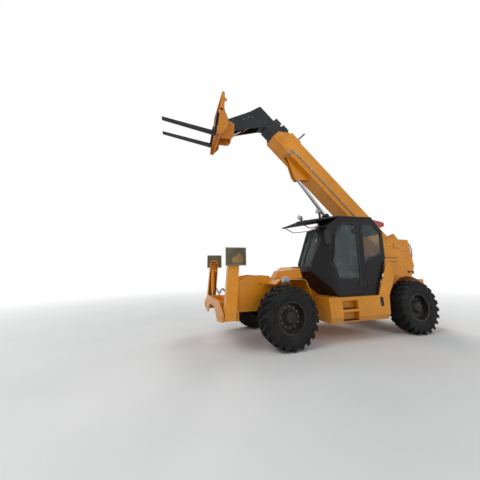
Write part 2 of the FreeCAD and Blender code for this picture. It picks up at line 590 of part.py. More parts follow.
def pad(part, plane, loops, start, depth):
    """Material between start and start + depth along X, Y or Z."""
    offset = "-(%s) - (%s)" % (start, depth) if plane == FRONT else start
    feature = part.newObject("PartDesign::Pad", part.Name + "_pad")
    feature.Profile = sketch(part, plane, loops, offset)
    part.Tip = feature
    tie(feature, Length=depth)
    return feature


def pads(part, plane, loops, inner, depth):
    """The same material on both sides of the machine's middle, seen from the side."""
    pad(part, plane, loops, inner, depth)
    pad(part, plane, loops, "-(%s) - (%s)" % (inner, depth), depth)


def cut(part, plane, loops, start, depth):
    """A cut between start and start + depth along X, Y or Z."""
    offset = "-(%s)" % start if plane == FRONT else "(%s) + (%s)" % (start, depth)
    feature = part.newObject("PartDesign::Pocket", part.Name + "_cut")
    feature.Profile = sketch(part, plane, loops, offset)
    part.Tip = feature
    tie(feature, Length=depth)
    cuts.append(feature)
    return feature


def turned(part, corners):
    """A ring turned about the body's X axis from corners (x, radius)."""
    feature = part.newObject("PartDesign::Revolution", part.Name + "_turned")
    drawing = sketch(part, FRONT, [corners], "0")
    feature.Profile = drawing
    feature.ReferenceAxis = (drawing, ["H_Axis"])
    feature.Angle = 360
    part.Tip = feature
    return feature


def boolean(kind, name, base, tool):
    """A cut or a common of two shapes."""
    result = doc.addObject("Part::" + kind, name)
    result.Base = base
    result.Tool = tool
    return result


def group(kind, name, pieces, field):
    """A fusion or a compound of several shapes."""
    result = doc.addObject("Part::" + kind, name)
    setattr(result, field, pieces)
    return result


def join(name, *pieces):
    """Pieces that are welded into one."""
    return group("MultiFuse", name, list(pieces), "Shapes")


def gather(name, *pieces):
    """Like pieces that share a node without touching."""
    return group("Compound", name, list(pieces), "Links")


def mirrored(name, source):
    """The same piece on the machine's other side."""
    result = doc.addObject("Part::Mirroring", name)
    result.Source = source
    result.Normal = FreeCAD.Vector(1, 0, 0)
    return result


def node(name, thing):
    """Make a finished piece a sub-part under its own name."""
    thing.Label = name
    nodes[name] = thing


SIDE, PLAN, FRONT = "YZ_Plane", "XY_Plane", "XZ_Plane"
doc = FreeCAD.newDocument("Loader")
sheet = doc.addObject("Spreadsheet::Sheet", "Sizes")
nodes, cuts = {}, []
MOVING = set(MACHINE_SIZES)
ROWS = list(SIZES)
for station, y, z in STATIONS:
    if station.startswith(MACHINE_GROUPS) and y < 0:
        MOVING.add(station + "_y")
    ROWS.append((station + "_y", y, station + ", back"))
    ROWS.append((station + "_z", z, station + ", up"))
NAMES = {alias for alias, _, _ in ROWS}
for number, (alias, value, meaning) in enumerate(ROWS, 1):
    put(number, alias, value, meaning)
doc.recompute()


def stand_out(thing, x, frame=MACHINE):
    """Place a piece as stand does, x to the machine's left of its middle."""
    stand(thing, frame)
    tie(thing, Placement__Base__x=x)
    return thing


def eye(part, ahead, up, radius, width):
    """A round end for a pin that lies across the machine."""
    pad(part, SIDE, [ring(ahead, up, radius)], "-(%s) / 2" % width, width)


def both(name, source):
    """A piece and its mirror image in one sub-part."""
    node(name, gather(name, source, mirrored(name + "_right", source)))


# Wheels, knuckles and axles
def turned_copy(name, source, angle):
    """A piece turned about the X axis."""
    copy = gather(name, source)
    copy.Placement = FreeCAD.Placement(FreeCAD.Vector(), FreeCAD.Rotation(FreeCAD.Vector(1, 0, 0), 1))
    tie(copy, Placement__Rotation__Angle=angle)
    return copy


def make_lug():
    """One slanted lug at the top of a tyre, from its middle to its left shoulder."""
    near, far = "(lug_sweep - lug_w) / 2", "(lug_sweep + lug_w) / 2"
    top = "sqrt(tyre_r ^ 2 - (%s) ^ 2)" % far
    lug = doc.addObject("PartDesign::Body", "tyre_lug")
    pad(lug, PLAN, [[("0", "-(%s)" % far), ("0", "-(%s)" % near), ("tyre_w / 2", far), ("tyre_w / 2", near)]],
        "lug_root", top + " - lug_root")
    cut(lug, FRONT, [[("0", top), ("tyre_w / 2", top + " - lug_drop"), ("tyre_w / 2", top)]], "-tyre_r",
        "2 * tyre_r")
    return lug


def make_tread():
    """A tyre about its own axle: a flat-sided sector and two staggered lugs, repeated all round."""
    edge, bead = "tyre_w / 2 - lug_over", "rim_w / 2 - rim_t - seat_gap - running_gap"
    well, shoulder = "rim_well_r + pin_gap", "tyre_r - tyre_shoulder"
    across = doc.addObject("PartDesign::Body", "tyre_section")
    pad(across, FRONT, [[("-(%s)" % bead, well), (bead, well), (edge, shoulder), ("0", "tyre_r - lug_depth"),
                         ("-(%s)" % edge, shoulder)]], "-tyre_w / 2", "tyre_w")
    wedge = doc.addObject("PartDesign::Body", "tyre_wedge")
    slant = "tyre_r * tan(180 / lug_count)"
    pad(wedge, SIDE, [[("0", "0"), (slant, "tyre_r"), ("-" + slant, "tyre_r")]], "-tyre_w", "2 * tyre_w")
    sector = boolean("Common", "tyre_sector", across, wedge)
    lug = make_lug()
    inner_lug = mirrored("tyre_inner_lug", lug)
    corner_down = "180 deg - asin((lug_sweep + lug_w) / 2 / tyre_r)"
    pieces = []
    for number in range(int(size("lug_count"))):
        angle = "%s + %d * 360 deg / lug_count" % (corner_down, number)
        pieces += [turned_copy("tyre_sector_%d" % number, sector, angle),
                   turned_copy("tyre_outer_lug_%d" % number, lug, angle),
                   turned_copy("tyre_inner_lug_%d" % number, inner_lug, angle + " + 180 deg / lug_count")]
    tread = join("tyre_form", *pieces)
    tread.Refine = True
    return tread


def make_tyre(name, y, tread):
    """The tyre on one end of an axle."""
    return stand_out(gather(name, tread), "track_half", (y, "axle_z", "0"))


def make_rim(name, y):
    """A rim with its disc and the planetary hub that it is bolted to."""
    part = stand_out(doc.addObject("PartDesign::Body", name), "track_half", (y, "axle_z", "0"))
    lip = "rim_w / 2"
    turned(part, [("disc_x - hub_in", "spindle_r + running_gap"), ("disc_x - hub_in", "hub_r"),
                  ("disc_x", "hub_r"), ("disc_x", "rim_well_r - rim_t"), ("-" + lip, "rim_well_r - rim_t"),
                  ("-" + lip, "rim_r"), ("-%s + rim_t" % lip, "rim_r"), ("-%s + rim_t" % lip, "rim_well_r"),
                  (lip + " - rim_t", "rim_well_r"), (lip + " - rim_t", "rim_r"), (lip, "rim_r"),
                  (lip, "rim_well_r - rim_t"), ("disc_x + disc_t", "rim_well_r - rim_t"),
                  ("disc_x + disc_t", "hub_r"), ("disc_x + hub_out * 0.4", "hub_r"),
                  ("disc_x + hub_out", "hub_nose_r"), ("disc_x + hub_out", "0"), ("disc_x", "0"),
                  ("disc_x", "spindle_r + running_gap")])
    return part


def make_knuckle(name, y, arm):
    """A steering knuckle: barrel, kingpins, spindle and an arm to the front (-1) or rear (1)."""
    part = stand_out(doc.addObject("PartDesign::Body", name), "kingpin_x", (y, "axle_z", "0"))
    pad(part, PLAN, [ring("0", "0", "knuckle_r")], "-knuckle_h / 2", "knuckle_h")
    pin_l = "knuckle_h + 2 * (seat_gap + yoke_t)"
    pad(part, PLAN, [ring("0", "0", "kingpin_r")], "-(%s) / 2" % pin_l, pin_l)
    pad(part, SIDE, [ring("0", "0", "spindle_root_r")], "0",
        "track_half + disc_x - hub_in - kingpin_x - seat_gap")
    pad(part, SIDE, [ring("0", "0", "spindle_r")], "0", "track_half + disc_x - kingpin_x - running_gap")
    reach = "(%d) * steer_arm_l" % arm
    pad(part, PLAN, [box("-steer_arm_w / 2", "steer_arm_w / 2", "0", reach)],
        "-steer_eye_t / 2 - seat_gap - steer_arm_t", "steer_arm_t")
    pad(part, PLAN, [ring("0", reach, "steer_arm_w / 2")],
        "-steer_eye_t / 2 - seat_gap - steer_arm_t", "steer_arm_t")
    return part


def make_axle(name, y, nose):
    """An axle: tube, differential housing with its nose to one side, and a yoke at each end."""
    part = stand_out(doc.addObject("PartDesign::Body", name), "0", (y, "axle_z", "0"))
    pad(part, SIDE, [ring("0", "0", "axle_tube_r")], "-yoke_root_x", "2 * yoke_root_x")
    offset = "(%d) * diff_set" % nose
    pad(part, SIDE, [ring(offset, "0", "diff_r")], "-diff_w / 2", "diff_w")
    snout = "(%d) * (diff_set + diff_r)" % nose
    start = snout if nose < 0 else "0"
    pad(part, FRONT, [ring("0", "0", "joint_r")], start + (" - snout_l" if nose < 0 else ""),
        "diff_set + diff_r + snout_l")
    for side in (1, -1):
        near = "yoke_root_x" if side > 0 else "-yoke_root_x - yoke_web_t"
        arm = "yoke_root_x" if side > 0 else "-kingpin_x - kingpin_r - eye_wall / 4"
        arm_l = "kingpin_x + kingpin_r + eye_wall / 4 - yoke_root_x"
        height = "knuckle_h / 2 + seat_gap + yoke_t"
        pad(part, SIDE, [box("-yoke_w / 2", "yoke_w / 2", "-(%s)" % height, height)], near, "yoke_web_t")
        for low in ("-(%s)" % height, "knuckle_h / 2 + seat_gap"):
            pad(part, PLAN, [box(arm, "%s + %s" % (arm, arm_l), "-yoke_w / 2", "yoke_w / 2")], low, "yoke_t")
        cut(part, PLAN, [ring("(%d) * kingpin_x" % side, "0", "kingpin_r + pin_gap")],
            "-(%s)" % height, "2 * (%s)" % height)
        saddle = "rail_x - saddle_w / 2" if side > 0 else "-rail_x - saddle_w / 2"
        pad(part, PLAN, [box(saddle, saddle + " + saddle_w", "-saddle_w / 2", "saddle_w / 2")], "0",
            "rail_rear_arch_a_z - axle_z")
        clamp = "steer_barrel / 2 - saddle_w / 2" if side > 0 else "-steer_barrel / 2"
        pad(part, SIDE, [box("0", "(%d) * -steer_arm_l" % nose, "-steer_r / 2", "steer_r / 2")], clamp,
            "saddle_w / 2")
    cut(part, SIDE, [ring("(%d) * -steer_arm_l" % nose, "0", "steer_r")], "-steer_barrel", "2 * steer_barrel")
    return part


def make_steering(name, y, nose):
    """The steering cylinder on an axle and the rod that slides through it."""
    place = ("%s - (%d) * steer_arm_l" % (y, nose), "axle_z", "0")
    barrel = stand_out(doc.addObject("PartDesign::Body", name + "_barrel"), "0", place)
    pad(barrel, SIDE, [ring("0", "0", "steer_r")], "-steer_barrel / 2", "steer_barrel")
    cut(barrel, SIDE, [ring("0", "0", "steer_rod_r + pin_gap")], "-steer_barrel / 2", "steer_barrel")
    rod = stand_out(doc.addObject("PartDesign::Body", name + "_bar"), "0", place)
    pad(rod, SIDE, [ring("0", "0", "steer_rod_r")], "-kingpin_x", "2 * kingpin_x")
    for x in ("kingpin_x", "-kingpin_x"):
        pad(rod, PLAN, [ring(x, "0", "steer_arm_w / 2")], "-steer_eye_t / 2", "steer_eye_t")
        cut(rod, PLAN, [ring(x, "0", "steer_rod_r")], "-steer_eye_t / 2", "steer_eye_t")
    return barrel, rod


def make_running_gear():
    """Both axles with their wheels, knuckles and steering."""
    barrels = []
    tread = make_tread()
    for end, y, nose in (("front", "-wheelbase", 1), ("rear", "0", -1)):
        node(end + "_axle", make_axle(end + "_axle", y, nose))
        barrel, rod = make_steering(end + "_steering", y, nose)
        barrels.append(barrel)
        node(end + "_steering_rod", rod)
        for kind, made in (("tyre", make_tyre(end + "_tyre", y, tread)), ("rim", make_rim(end + "_rim", y)),
                           ("knuckle", make_knuckle(end + "_knuckle", y, -nose))):
            node("%s_left_%s" % (end, kind), made)
            node("%s_right_%s" % (end, kind), mirrored("%s_right_%s" % (end, kind), made))
    node("steering_cylinders", gather("steering_cylinders", *barrels))


def make_drive_line():
    """Transfer gearbox and the two drive shafts."""
    part = body("gearbox")
    box_z = "rail_belly_a_z + floor_t"
    pad(part, SIDE, [box("box_y - box_l / 2", "box_y + box_l / 2", box_z, box_z + " + box_h")], "-box_w / 2",
        "box_w")
    pieces = [part]
    for name, start, end in (("front_shaft", "-wheelbase + diff_set + diff_r + snout_l", "box_y - box_l / 2"),
                             ("rear_shaft", "box_y + box_l / 2", "-diff_set - diff_r - snout_l")):
        part = body(name)
        pad(part, FRONT, [ring("0", "axle_z", "shaft_r")], start, "(%s) - (%s)" % (end, start))
        for at in (start, "%s - joint_w" % end):
            pad(part, FRONT, [ring("0", "axle_z", "joint_r")], at, "joint_w")
        pieces.append(part)
    node("drive_line", gather("drive_line", *pieces))


# Frame, tower and tail
def make_frame():
    """Two side plates with a closed belly, decks and cross walls."""
    part = body("frame")
    plate = ["rail_nose_low", "rail_nose_high soft_r", "rail_arc_a sweep_r", "rail_crown sweep_r",
             "rail_step", "rail_step_low", "rail_cowl_low sweep_r", "rail_top_mid soft_r",
             "rail_waist_rear soft_r", "rail_waist_up soft_r", "rail_tail_high", "rail_tail_low",
             "rail_rear_arch_b soft_r", "rail_rear_arch_a soft_r", "rail_belly_b soft_r",
             "rail_belly_a soft_r", "rail_front_arch_b soft_r", "rail_front_arch_a soft_r", "rail_chin"]
    pads(part, SIDE, [plate], "rail_x - rail_t", "rail_t")
    inner = "rail_x - rail_t"
    front_deck, rear_deck = "rail_front_arch_a_z + deck_rise", "rail_top_back_z - deck_drop"
    for front, back, low in (("rail_belly_a_y", "rail_belly_b_y", "rail_belly_a_z"),
                             ("rail_front_arch_a_y", "rail_front_arch_b_y", front_deck),
                             ("rail_rear_arch_a_y", "rail_tail_low_y", rear_deck)):
        pad(part, PLAN, [box("-(%s)" % inner, inner, front, back)], low, "floor_t")
    for at, low, high in (("rail_front_arch_a_y", "rail_front_arch_a_z", "rail_nose_high_z"),
                          ("rail_front_arch_b_y", "rail_front_arch_b_z", front_deck + " + floor_t"),
                          ("rail_belly_b_y - floor_t", "rail_belly_b_z", rear_deck),
                          ("rail_tail_low_y - floor_t", "rail_tail_low_z", "rail_tail_high_z")):
        pad(part, FRONT, [box("-(%s)" % inner, inner, low, high)], at, "floor_t")
    cut(part, FRONT, [ring("0", "axle_z", "joint_r + soft_r")], "rail_belly_b_y - 2 * floor_t", "3 * floor_t")
    keyhole(part, "frame_keyhole", "rail_x", "rail_t")
    lift_lugs(part)
    node("main_frame", part)


def keyhole(part, name, outer, depth):
    """A round hole with a slot to the rear, through the plates on both sides."""
    slot = box(name + "_y", name + "_end_y", name + "_z - keyhole_slot", name + "_z + keyhole_slot")
    for start in ("%s - %s" % (outer, depth), "-" + outer):
        cut(part, SIDE, [ring(name + "_y", name + "_z", "keyhole_r")], start, depth)
        cut(part, SIDE, [slot], start, depth)


def lift_lugs(part):
    """The plates that hold the lift cylinder's base pin, with the pin."""
    plate = [("lift_base_y - lug_foot", "rail_top_back_z - deck_drop"),
             ("lift_base_y + lug_foot", "rail_top_back_z - deck_drop"),
             ("lift_base_y + lift_pin_r + eye_wall", "lift_base_z + lift_pin_r + eye_wall", "soft_r"),
             ("lift_base_y - lift_pin_r - eye_wall", "lift_base_z + lift_pin_r + eye_wall", "soft_r")]
    pads(part, SIDE, [plate], "lift_eye_w / 2 + seat_gap", "lug_t")
    pin_l = "lift_eye_w + 2 * (seat_gap + lug_t + pin_head)"
    pad(part, SIDE, [ring("lift_base_y", "lift_base_z", "lift_pin_r")], "-(%s) / 2" % pin_l, pin_l)


def make_tower():
    """Two rear plates that carry the boom's pivot, tied by a rear wall and a floor."""
    part = body("tower")
    plate = ["tower_foot_a", "tower_front_low", "tower_front_high soft_r", "tower_crown_a sweep_r",
             "tower_crown_b soft_r", "tower_back", "tower_foot_c soft_r", "tower_foot_b"]
    pads(part, SIDE, [plate], "tower_x - tower_t", "tower_t")
    inner = "tower_x - tower_t"
    pad(part, PLAN, [box("-(%s)" % inner, inner, "tower_wall_y", "tower_wall_y + floor_t")],
        "tower_wall_z", "tower_wall_h")
    pad(part, PLAN, [box("-tower_x", "tower_x", "tower_foot_a_y", "tower_foot_b_y")],
        "rail_tail_high_z", "floor_t")
    cut(part, PLAN, [box("-lift_gap_x", "lift_gap_x", "tower_foot_a_y", "lift_gap_y")],
        "rail_tail_high_z", "floor_t")
    cut(part, SIDE, [ring(hole + "_y", hole + "_z", "port_r") for hole in
                     ("tower_port_a", "tower_port_b", "tower_port_c")], "-tower_x", "2 * tower_x")
    keyhole(part, "tower_keyhole", "tower_x", "tower_t")
    for groove in ("groove_high", "groove_low"):
        line = box(groove + "_y", groove + "_end_y", groove + "_z", groove + "_z + groove_h")
        for start in ("tower_x - groove_d", "-tower_x"):
            cut(part, SIDE, [line], start, "groove_d")
    pad(part, SIDE, [ring("pivot_y", "pivot_z", "pivot_r")], "-tower_x - pin_head", "2 * (tower_x + pin_head)")
    node("tower", part)


def make_tail():
    """The tail weight with a recess and a bored plate for the tow pin."""
    part = body("tail_weight")
    outline = [("tail_y - tail_l", "tail_low_z"), ("tail_y", "tail_low_z", "soft_r"),
               ("tail_y", "tail_high_z", "soft_r"), ("tail_y - tail_l", "tail_high_z")]
    pad(part, SIDE, [outline], "-tail_half", "2 * tail_half")
    cut(part, PLAN, [box("-hitch_half", "hitch_half", "tail_y - 2 * hitch_set", "tail_y")], "hitch_low_z",
        "tail_high_z - hitch_low_z")
    pad(part, PLAN, [box("-hitch_half", "hitch_half", "tail_y - 2 * hitch_set", "tail_y")],
        "hitch_high_z - hitch_t", "hitch_t")
    cut(part, PLAN, [ring("0", "tail_y - hitch_set", "hitch_r")], "tail_low_z", "hitch_high_z - tail_low_z")
    node("tail_weight", part)


# Front beam and stabilizers
def make_front_beam():
    """An open trough across the nose with the hinge pins of both legs and the rods' lugs."""
    part = body("beam")
    face = [("-beam_half", "leg_pin_z - leg_ear", "soft_r"), ("-arch_half", "beam_low_z", "soft_r"),
            ("-arch_half / 2", "beam_arch_z", "sweep_r"), ("arch_half / 2", "beam_arch_z", "sweep_r"),
            ("arch_half", "beam_low_z", "soft_r"), ("beam_half", "leg_pin_z - leg_ear", "soft_r"),
            ("beam_half", "leg_pin_z + leg_ear", "soft_r"), ("arch_half + leg_ear", "beam_high_z", "soft_r"),
            ("-arch_half - leg_ear", "beam_high_z", "soft_r"), ("-beam_half", "leg_pin_z + leg_ear", "soft_r")]
    front = "leg_low_front_y - leg_play - beam_t"
    rear = "leg_low_rear_y + 3 * leg_play"
    for at in (front, rear):
        pad(part, FRONT, [face], at, "beam_t")
    pad(part, PLAN, [box("-rib_x", "rib_x", front, rear)], "beam_arch_z + beam_t", "floor_t")
    for x in ("rail_x - 2 * rail_t", "-rail_x + rail_t"):
        pad(part, SIDE, [box(rear, "rail_nose_low_y + 4 * rail_t", "rail_nose_low_z", "beam_high_z")], x,
            "rail_t")
    for side in (1, -1):
        rib = "rib_x" if side > 0 else "-rib_x - floor_t"
        pad(part, SIDE, [box(front, rear, "leg_pin_z - leg_ear", "beam_high_z - soft_r")], rib, "floor_t")
        lug = box("(%d) * rib_x" % side, "(%d) * prop_eye_x" % side, "prop_eye_z - prop_lug_r",
                  "prop_eye_z + prop_lug_r")
        for at, head in (("prop_y - prop_eye_w / 2 - seat_gap - beam_t", "-pin_head"),
                         ("prop_y + prop_eye_w / 2 + seat_gap", "0")):
            pad(part, FRONT, [lug], at, "beam_t")
            pad(part, FRONT, [ring("(%d) * prop_eye_x" % side, "prop_eye_z", "prop_lug_r")], at, "beam_t")
            pad(part, FRONT, [ring("(%d) * prop_eye_x" % side, "prop_eye_z", "prop_pin_r")],
                "%s + (%s)" % (at, head), "beam_t + pin_head")
        for at in (front + " - pin_head", "leg_low_rear_y - 2 * leg_play"):
            pad(part, FRONT, [ring("(%d) * leg_x" % side, "leg_pin_z", "leg_pin_r")], at,
                "beam_t + 5 * leg_play + pin_head")
    node("front_beam", part)


def make_stabilizers():
    """A channel leg on each side, with its foot pad and its cylinder."""
    leg = body("leg")
    outline = ["leg_low_front", "leg_low_rear", "leg_high_rear", "leg_high_front"]
    inner_x = "leg_x - leg_w / 2"
    pad(leg, SIDE, [outline], inner_x, "leg_w")
    cut(leg, SIDE, [grow(outline, "-leg_wall")], inner_x + " - leg_wall", "leg_w")
    cut(leg, SIDE, [box("leg_low_front_y + 2 * leg_wall", "leg_low_rear_y - leg_wall",
                        "leg_low_front_z - leg_wall", "leg_low_front_z + 2 * leg_wall")],
        inner_x + " - leg_wall", "leg_w")
    cut(leg, FRONT, [ring("leg_x", "leg_pin_z", "leg_pin_r + pin_gap")], "leg_low_front_y - leg_wall",
        "3 * leg_w")
    pad(leg, FRONT, [ring("prop_base_x", "prop_base_z", "prop_pin_r")], "prop_y - prop_pin_set", "prop_pin_l")
    ears = ("leg_high_front_y + pad_ear_t", "leg_high_rear_y - 2 * pad_ear_t")
    for at in ears:
        pad(leg, FRONT, [box("pad_pin_x - pad_eye_r", "pad_pin_x + pad_eye_r", "leg_high_front_z - leg_wall",
                             "pad_pin_z")], at, "pad_ear_t")
        pad(leg, FRONT, [ring("pad_pin_x", "pad_pin_z", "pad_eye_r")], at, "pad_ear_t")
    pad(leg, FRONT, [ring("pad_pin_x", "pad_pin_z", "pad_pin_r")], ears[0], "(%s) - (%s)" % (ears[1], ears[0]))
    foot = body("foot")
    face = "leg_x + leg_w / 2 + seat_gap"
    pad(foot, SIDE, [box("pad_low_front_y", "pad_high_rear_y", "pad_low_front_z", "pad_high_rear_z")],
        face, "pad_t")
    for at in (ears[0] + " + pad_ear_t + seat_gap", ears[1] + " - pad_ear_t - seat_gap"):
        pad(foot, FRONT, [box("pad_pin_x", face + " + pad_t / 2", "pad_pin_z - pad_eye_r",
                              "pad_pin_z + pad_eye_r")], at, "pad_ear_t")
        pad(foot, FRONT, [ring("pad_pin_x", "pad_pin_z", "pad_eye_r")], at, "pad_ear_t")
    cut(foot, FRONT, [ring("pad_pin_x", "pad_pin_z", "pad_pin_r + pin_gap")], "pad_low_front_y", "3 * leg_w")
    barrel, rod = make_prop()
    for name, made in (("leg", leg), ("pad", foot), ("cylinder", barrel), ("rod", rod)):
        node("left_stabilizer_" + name, made)
        node("right_stabilizer_" + name, mirrored("right_stabilizer_" + name, made))


def make_prop():
    """A stabilizer's cylinder on its leg and the rod that runs down to the front beam."""
    made = []
    length = "sqrt((prop_eye_x - prop_base_x) ^ 2 + (prop_eye_z - prop_base_z) ^ 2)"
    for name in ("prop_barrel_body", "prop_rod_body"):
        part = doc.addObject("PartDesign::Body", name)
        part.Placement = FreeCAD.Placement(FreeCAD.Vector(), FreeCAD.Rotation(FreeCAD.Vector(0, 1, 0), 1))
        tie(part, Placement__Base__x="prop_base_x", Placement__Base__y="rear_axle_y + prop_y",
            Placement__Base__z="prop_base_z",
            Placement__Rotation__Angle="-atan2(prop_eye_z - prop_base_z; prop_eye_x - prop_base_x)")
        made.append(part)
    barrel, rod = made
    pad(barrel, FRONT, [ring("0", "0", "prop_pin_r + eye_wall")], "-prop_eye_w / 2", "prop_eye_w")
    pad(barrel, SIDE, [ring("0", "0", "prop_r")], "prop_pin_r", "prop_barrel - prop_pin_r")
    cut(barrel, FRONT, [ring("0", "0", "prop_pin_r + pin_gap")], "-prop_r", "2 * prop_r")
    cut(barrel, SIDE, [ring("0", "0", "prop_rod_r + pin_gap")], "prop_pin_r + eye_wall", "prop_barrel")
    pad(rod, SIDE, [ring("0", "0", "prop_rod_r")], "%s - prop_rod_l" % length, "prop_rod_l")
    pad(rod, FRONT, [ring(length, "0", "prop_pin_r + eye_wall / 2")], "-prop_eye_w / 2", "prop_eye_w")
    return barrel, rod


# Boom
def section(level):
    """Half width, underside and top of one boom section; each nests in the one before."""
    return ("(boom_w / 2 - (%d) * section_step)" % level, "(boom_low + (%d) * section_step)" % level,
            "(boom_high - (%d) * section_step)" % level)


def tube(part, back, front, level, mouth):
    """A boom section with guide pads round its tail and a mouth that guides the next one."""
    half, low, high = section(level)
    pad(part, FRONT, [box("-" + half, half, low, high)], "-(%s)" % front, "(%s) - (%s)" % (front, back))
    if level:
        gap = "(section_step - boom_wall - pin_gap)"
        pad(part, FRONT, [box("-%s - %s" % (half, gap), "%s + %s" % (half, gap), "%s - %s" % (low, gap),
                              "%s + %s" % (high, gap))], "-(%s) - mouth_l" % back, "mouth_l")
    cut(part, FRONT, [box("-%s + boom_wall" % half, "%s - boom_wall" % half, low + " + boom_wall",
                          high + " - boom_wall")], "-(%s)" % mouth, "(%s) - (%s) - boom_wall" % (mouth, back))
    if mouth != front:
        half, low, high = section(level + 1)
        cut(part, FRONT, [box("-%s - pin_gap" % half, "%s + pin_gap" % half, low + " - pin_gap",
                              high + " + pin_gap")], "-(%s)" % front, "(%s) - (%s)" % (front, mouth))
    return section(level)


def make_boom():
    """The outer section and the ones that slide out of it."""
    part = body("outer", BOOM)
    half, low, high = tube(part, "boom_back", "boom_front_low", 0, "boom_front_high - mouth_l")
    cut(part, SIDE, [[("-boom_front_low", "boom_front_t"), ("-boom_front_high", "boom_high"),
                      ("-boom_front_low", "boom_high")]], "-boom_w", "2 * boom_w")
    pad(part, FRONT, [box("-boom_w / 2 + soft_r", "boom_w / 2 - soft_r", "boom_high", "boom_high + crest_h")],
        "-boom_front_high", "crest_l")
    pivot_l = "2 * (tower_x - tower_t - seat_gap)"
    pad(part, SIDE, [ring("0", "0", "pivot_tube_r")], "-(%s) / 2" % pivot_l, pivot_l)
    cut(part, SIDE, [ring("0", "0", "pivot_r + pin_gap")], "-tower_x", "2 * tower_x")
    bracket = ["bracket_front", "bracket_chin sweep_r", "bracket_low_a soft_r", "bracket_low_b soft_r",
               "bracket_rear"]
    pads(part, SIDE, [bracket], "lift_eye_w / 2 + seat_gap", "lug_t")
    for at in ("lift_eye_w / 2 + seat_gap", "-lift_eye_w / 2 - seat_gap - lug_t - pin_head"):
        pad(part, SIDE, [ring("-lift_pin_s", "lift_pin_t", "lift_pin_r")], at, "lug_t + pin_head")
    pad(part, PLAN, [ring("0", "-spike_s", "spike_r")], "boom_high", "spike_h - boom_high")
    saddle = ["saddle_front", "saddle_tip_a soft_r", "saddle_tip_b soft_r", "saddle_rear"]
    pads(part, SIDE, [saddle], "saddle_half - saddle_t", "saddle_t")
    pad(part, SIDE, [ring("(saddle_tip_a_y + saddle_tip_b_y) / 2", "saddle_tip_b_z - 2 * soft_r", "soft_r")],
        "-saddle_half", "2 * saddle_half")
    node("boom_outer", part)
    make_boom_fittings()
    for level, name, back, front in ((1, "boom_second", "mid_back", "mid_front"),
                                     (2, "boom_third", "inner_back", "inner_front")):
        part = body(name + "_body", BOOM)
        half, low, high = tube(part, back, front, level, front + " - mouth_l")
        pad(part, FRONT, [box("-%s + collar_t" % half, "%s - collar_t" % half, high, "collar_top")],
            "-(%s)" % front, "collar_l")
        node(name, part)
    make_head()


def make_boom_fittings():
    """The cover on the boom's tail and the pair of pipes clamped to its left side."""
    cover = body("cover_body", BOOM)
    outline = [("cover_front_y", "boom_high"), "cover_front soft_r", "cover_crown cab_round",
               "cover_rear soft_r", ("cover_foot_y", "boom_high")]
    pad(cover, SIDE, [outline], "-cover_half", "2 * cover_half")
    node("hose_cover", cover)
    pipes = body("pipes_body", BOOM)
    low = "pipe_t - pipe_step"
    for number, height in enumerate(("pipe_t", low)):
        front = "pipe_front + %d * pipe_step" % (1 - number)
        pad(pipes, FRONT, [ring("pipe_x", height, "pipe_r")], "-(%s) - pipe_r" % front,
            "%s + pipe_r - pipe_back" % front)
        pad(pipes, PLAN, [ring("pipe_x", "-(%s)" % front, "pipe_r - running_gap")], "boom_low",
            "%s - boom_low" % height)
    for number in range(int(size("clamp_count"))):
        at = "-pipe_back - clamp_l - %d * (pipe_front - pipe_back - 2 * clamp_l) / (clamp_count - 1)" % number
        clamp = box("boom_w / 2", "pipe_x + pipe_r + pin_gap", "%s - 2 * pipe_r" % low, "pipe_t + 2 * pipe_r")
        pad(pipes, FRONT, [clamp], at, "clamp_l")
    node("boom_hoses", pipes)


def make_head():
    """The fourth section and the bent head that it carries."""
    part = body("head", BOOM)
    half, low, high = tube(part, "head_back", "neck_root_s", 3, "neck_root_s - neck_wall")
    neck = [("-neck_root_s", high), ("neck_crown_y", high, "soft_r"), "neck_bend sweep_r",
            "neck_tip_high soft_r", "neck_tip neck_tip_r", "neck_tip_low soft_r", "neck_throat soft_r",
            "neck_armpit soft_r", ("-neck_root_s", low)]
    pad(part, SIDE, [neck], "-" + half, "2 * " + half)
    front_open, rear_open = "neck_tip_high_y - neck_open", "neck_throat_y + neck_open"
    armpit = "neck_armpit_y - neck_wall"
    hollow = [("-neck_root_s - neck_wall", high + " - neck_wall"),
              ("neck_crown_y + neck_wall", high + " - neck_wall"),
              ("neck_bend_y + neck_wall", "neck_bend_z"),
              ("neck_tip_high_y + neck_wall", "neck_tip_high_z"),
              (front_open, "neck_tip_high_z"),
              (front_open, "neck_tip_z - neck_open"),
              (rear_open, "neck_tip_z - neck_open"),
              (rear_open, "neck_throat_z"),
              (armpit, "neck_armpit_z - neck_wall"),
              (armpit, low + " + neck_wall"),
              ("-neck_root_s - neck_wall", low + " + neck_wall")]
    cut(part, SIDE, [hollow], "-%s + neck_wall" % half, "2 * (%s - neck_wall)" % half)
    pad(part, SIDE, [ring("-tool_s", "tool_t", "tool_boss_r")], "-" + half, "2 * " + half)
    cut(part, SIDE, [ring("-tool_s", "tool_t", "tool_pin_r + pin_gap")], "-boom_w", "2 * boom_w")
    pin_l = "2 * (%s + pin_head)" % half
    pad(part, SIDE, [ring("-tilt_base_s", "tilt_base_t", "tilt_pin_r")], "-(%s) / 2" % pin_l, pin_l)
    node("boom_head", part)


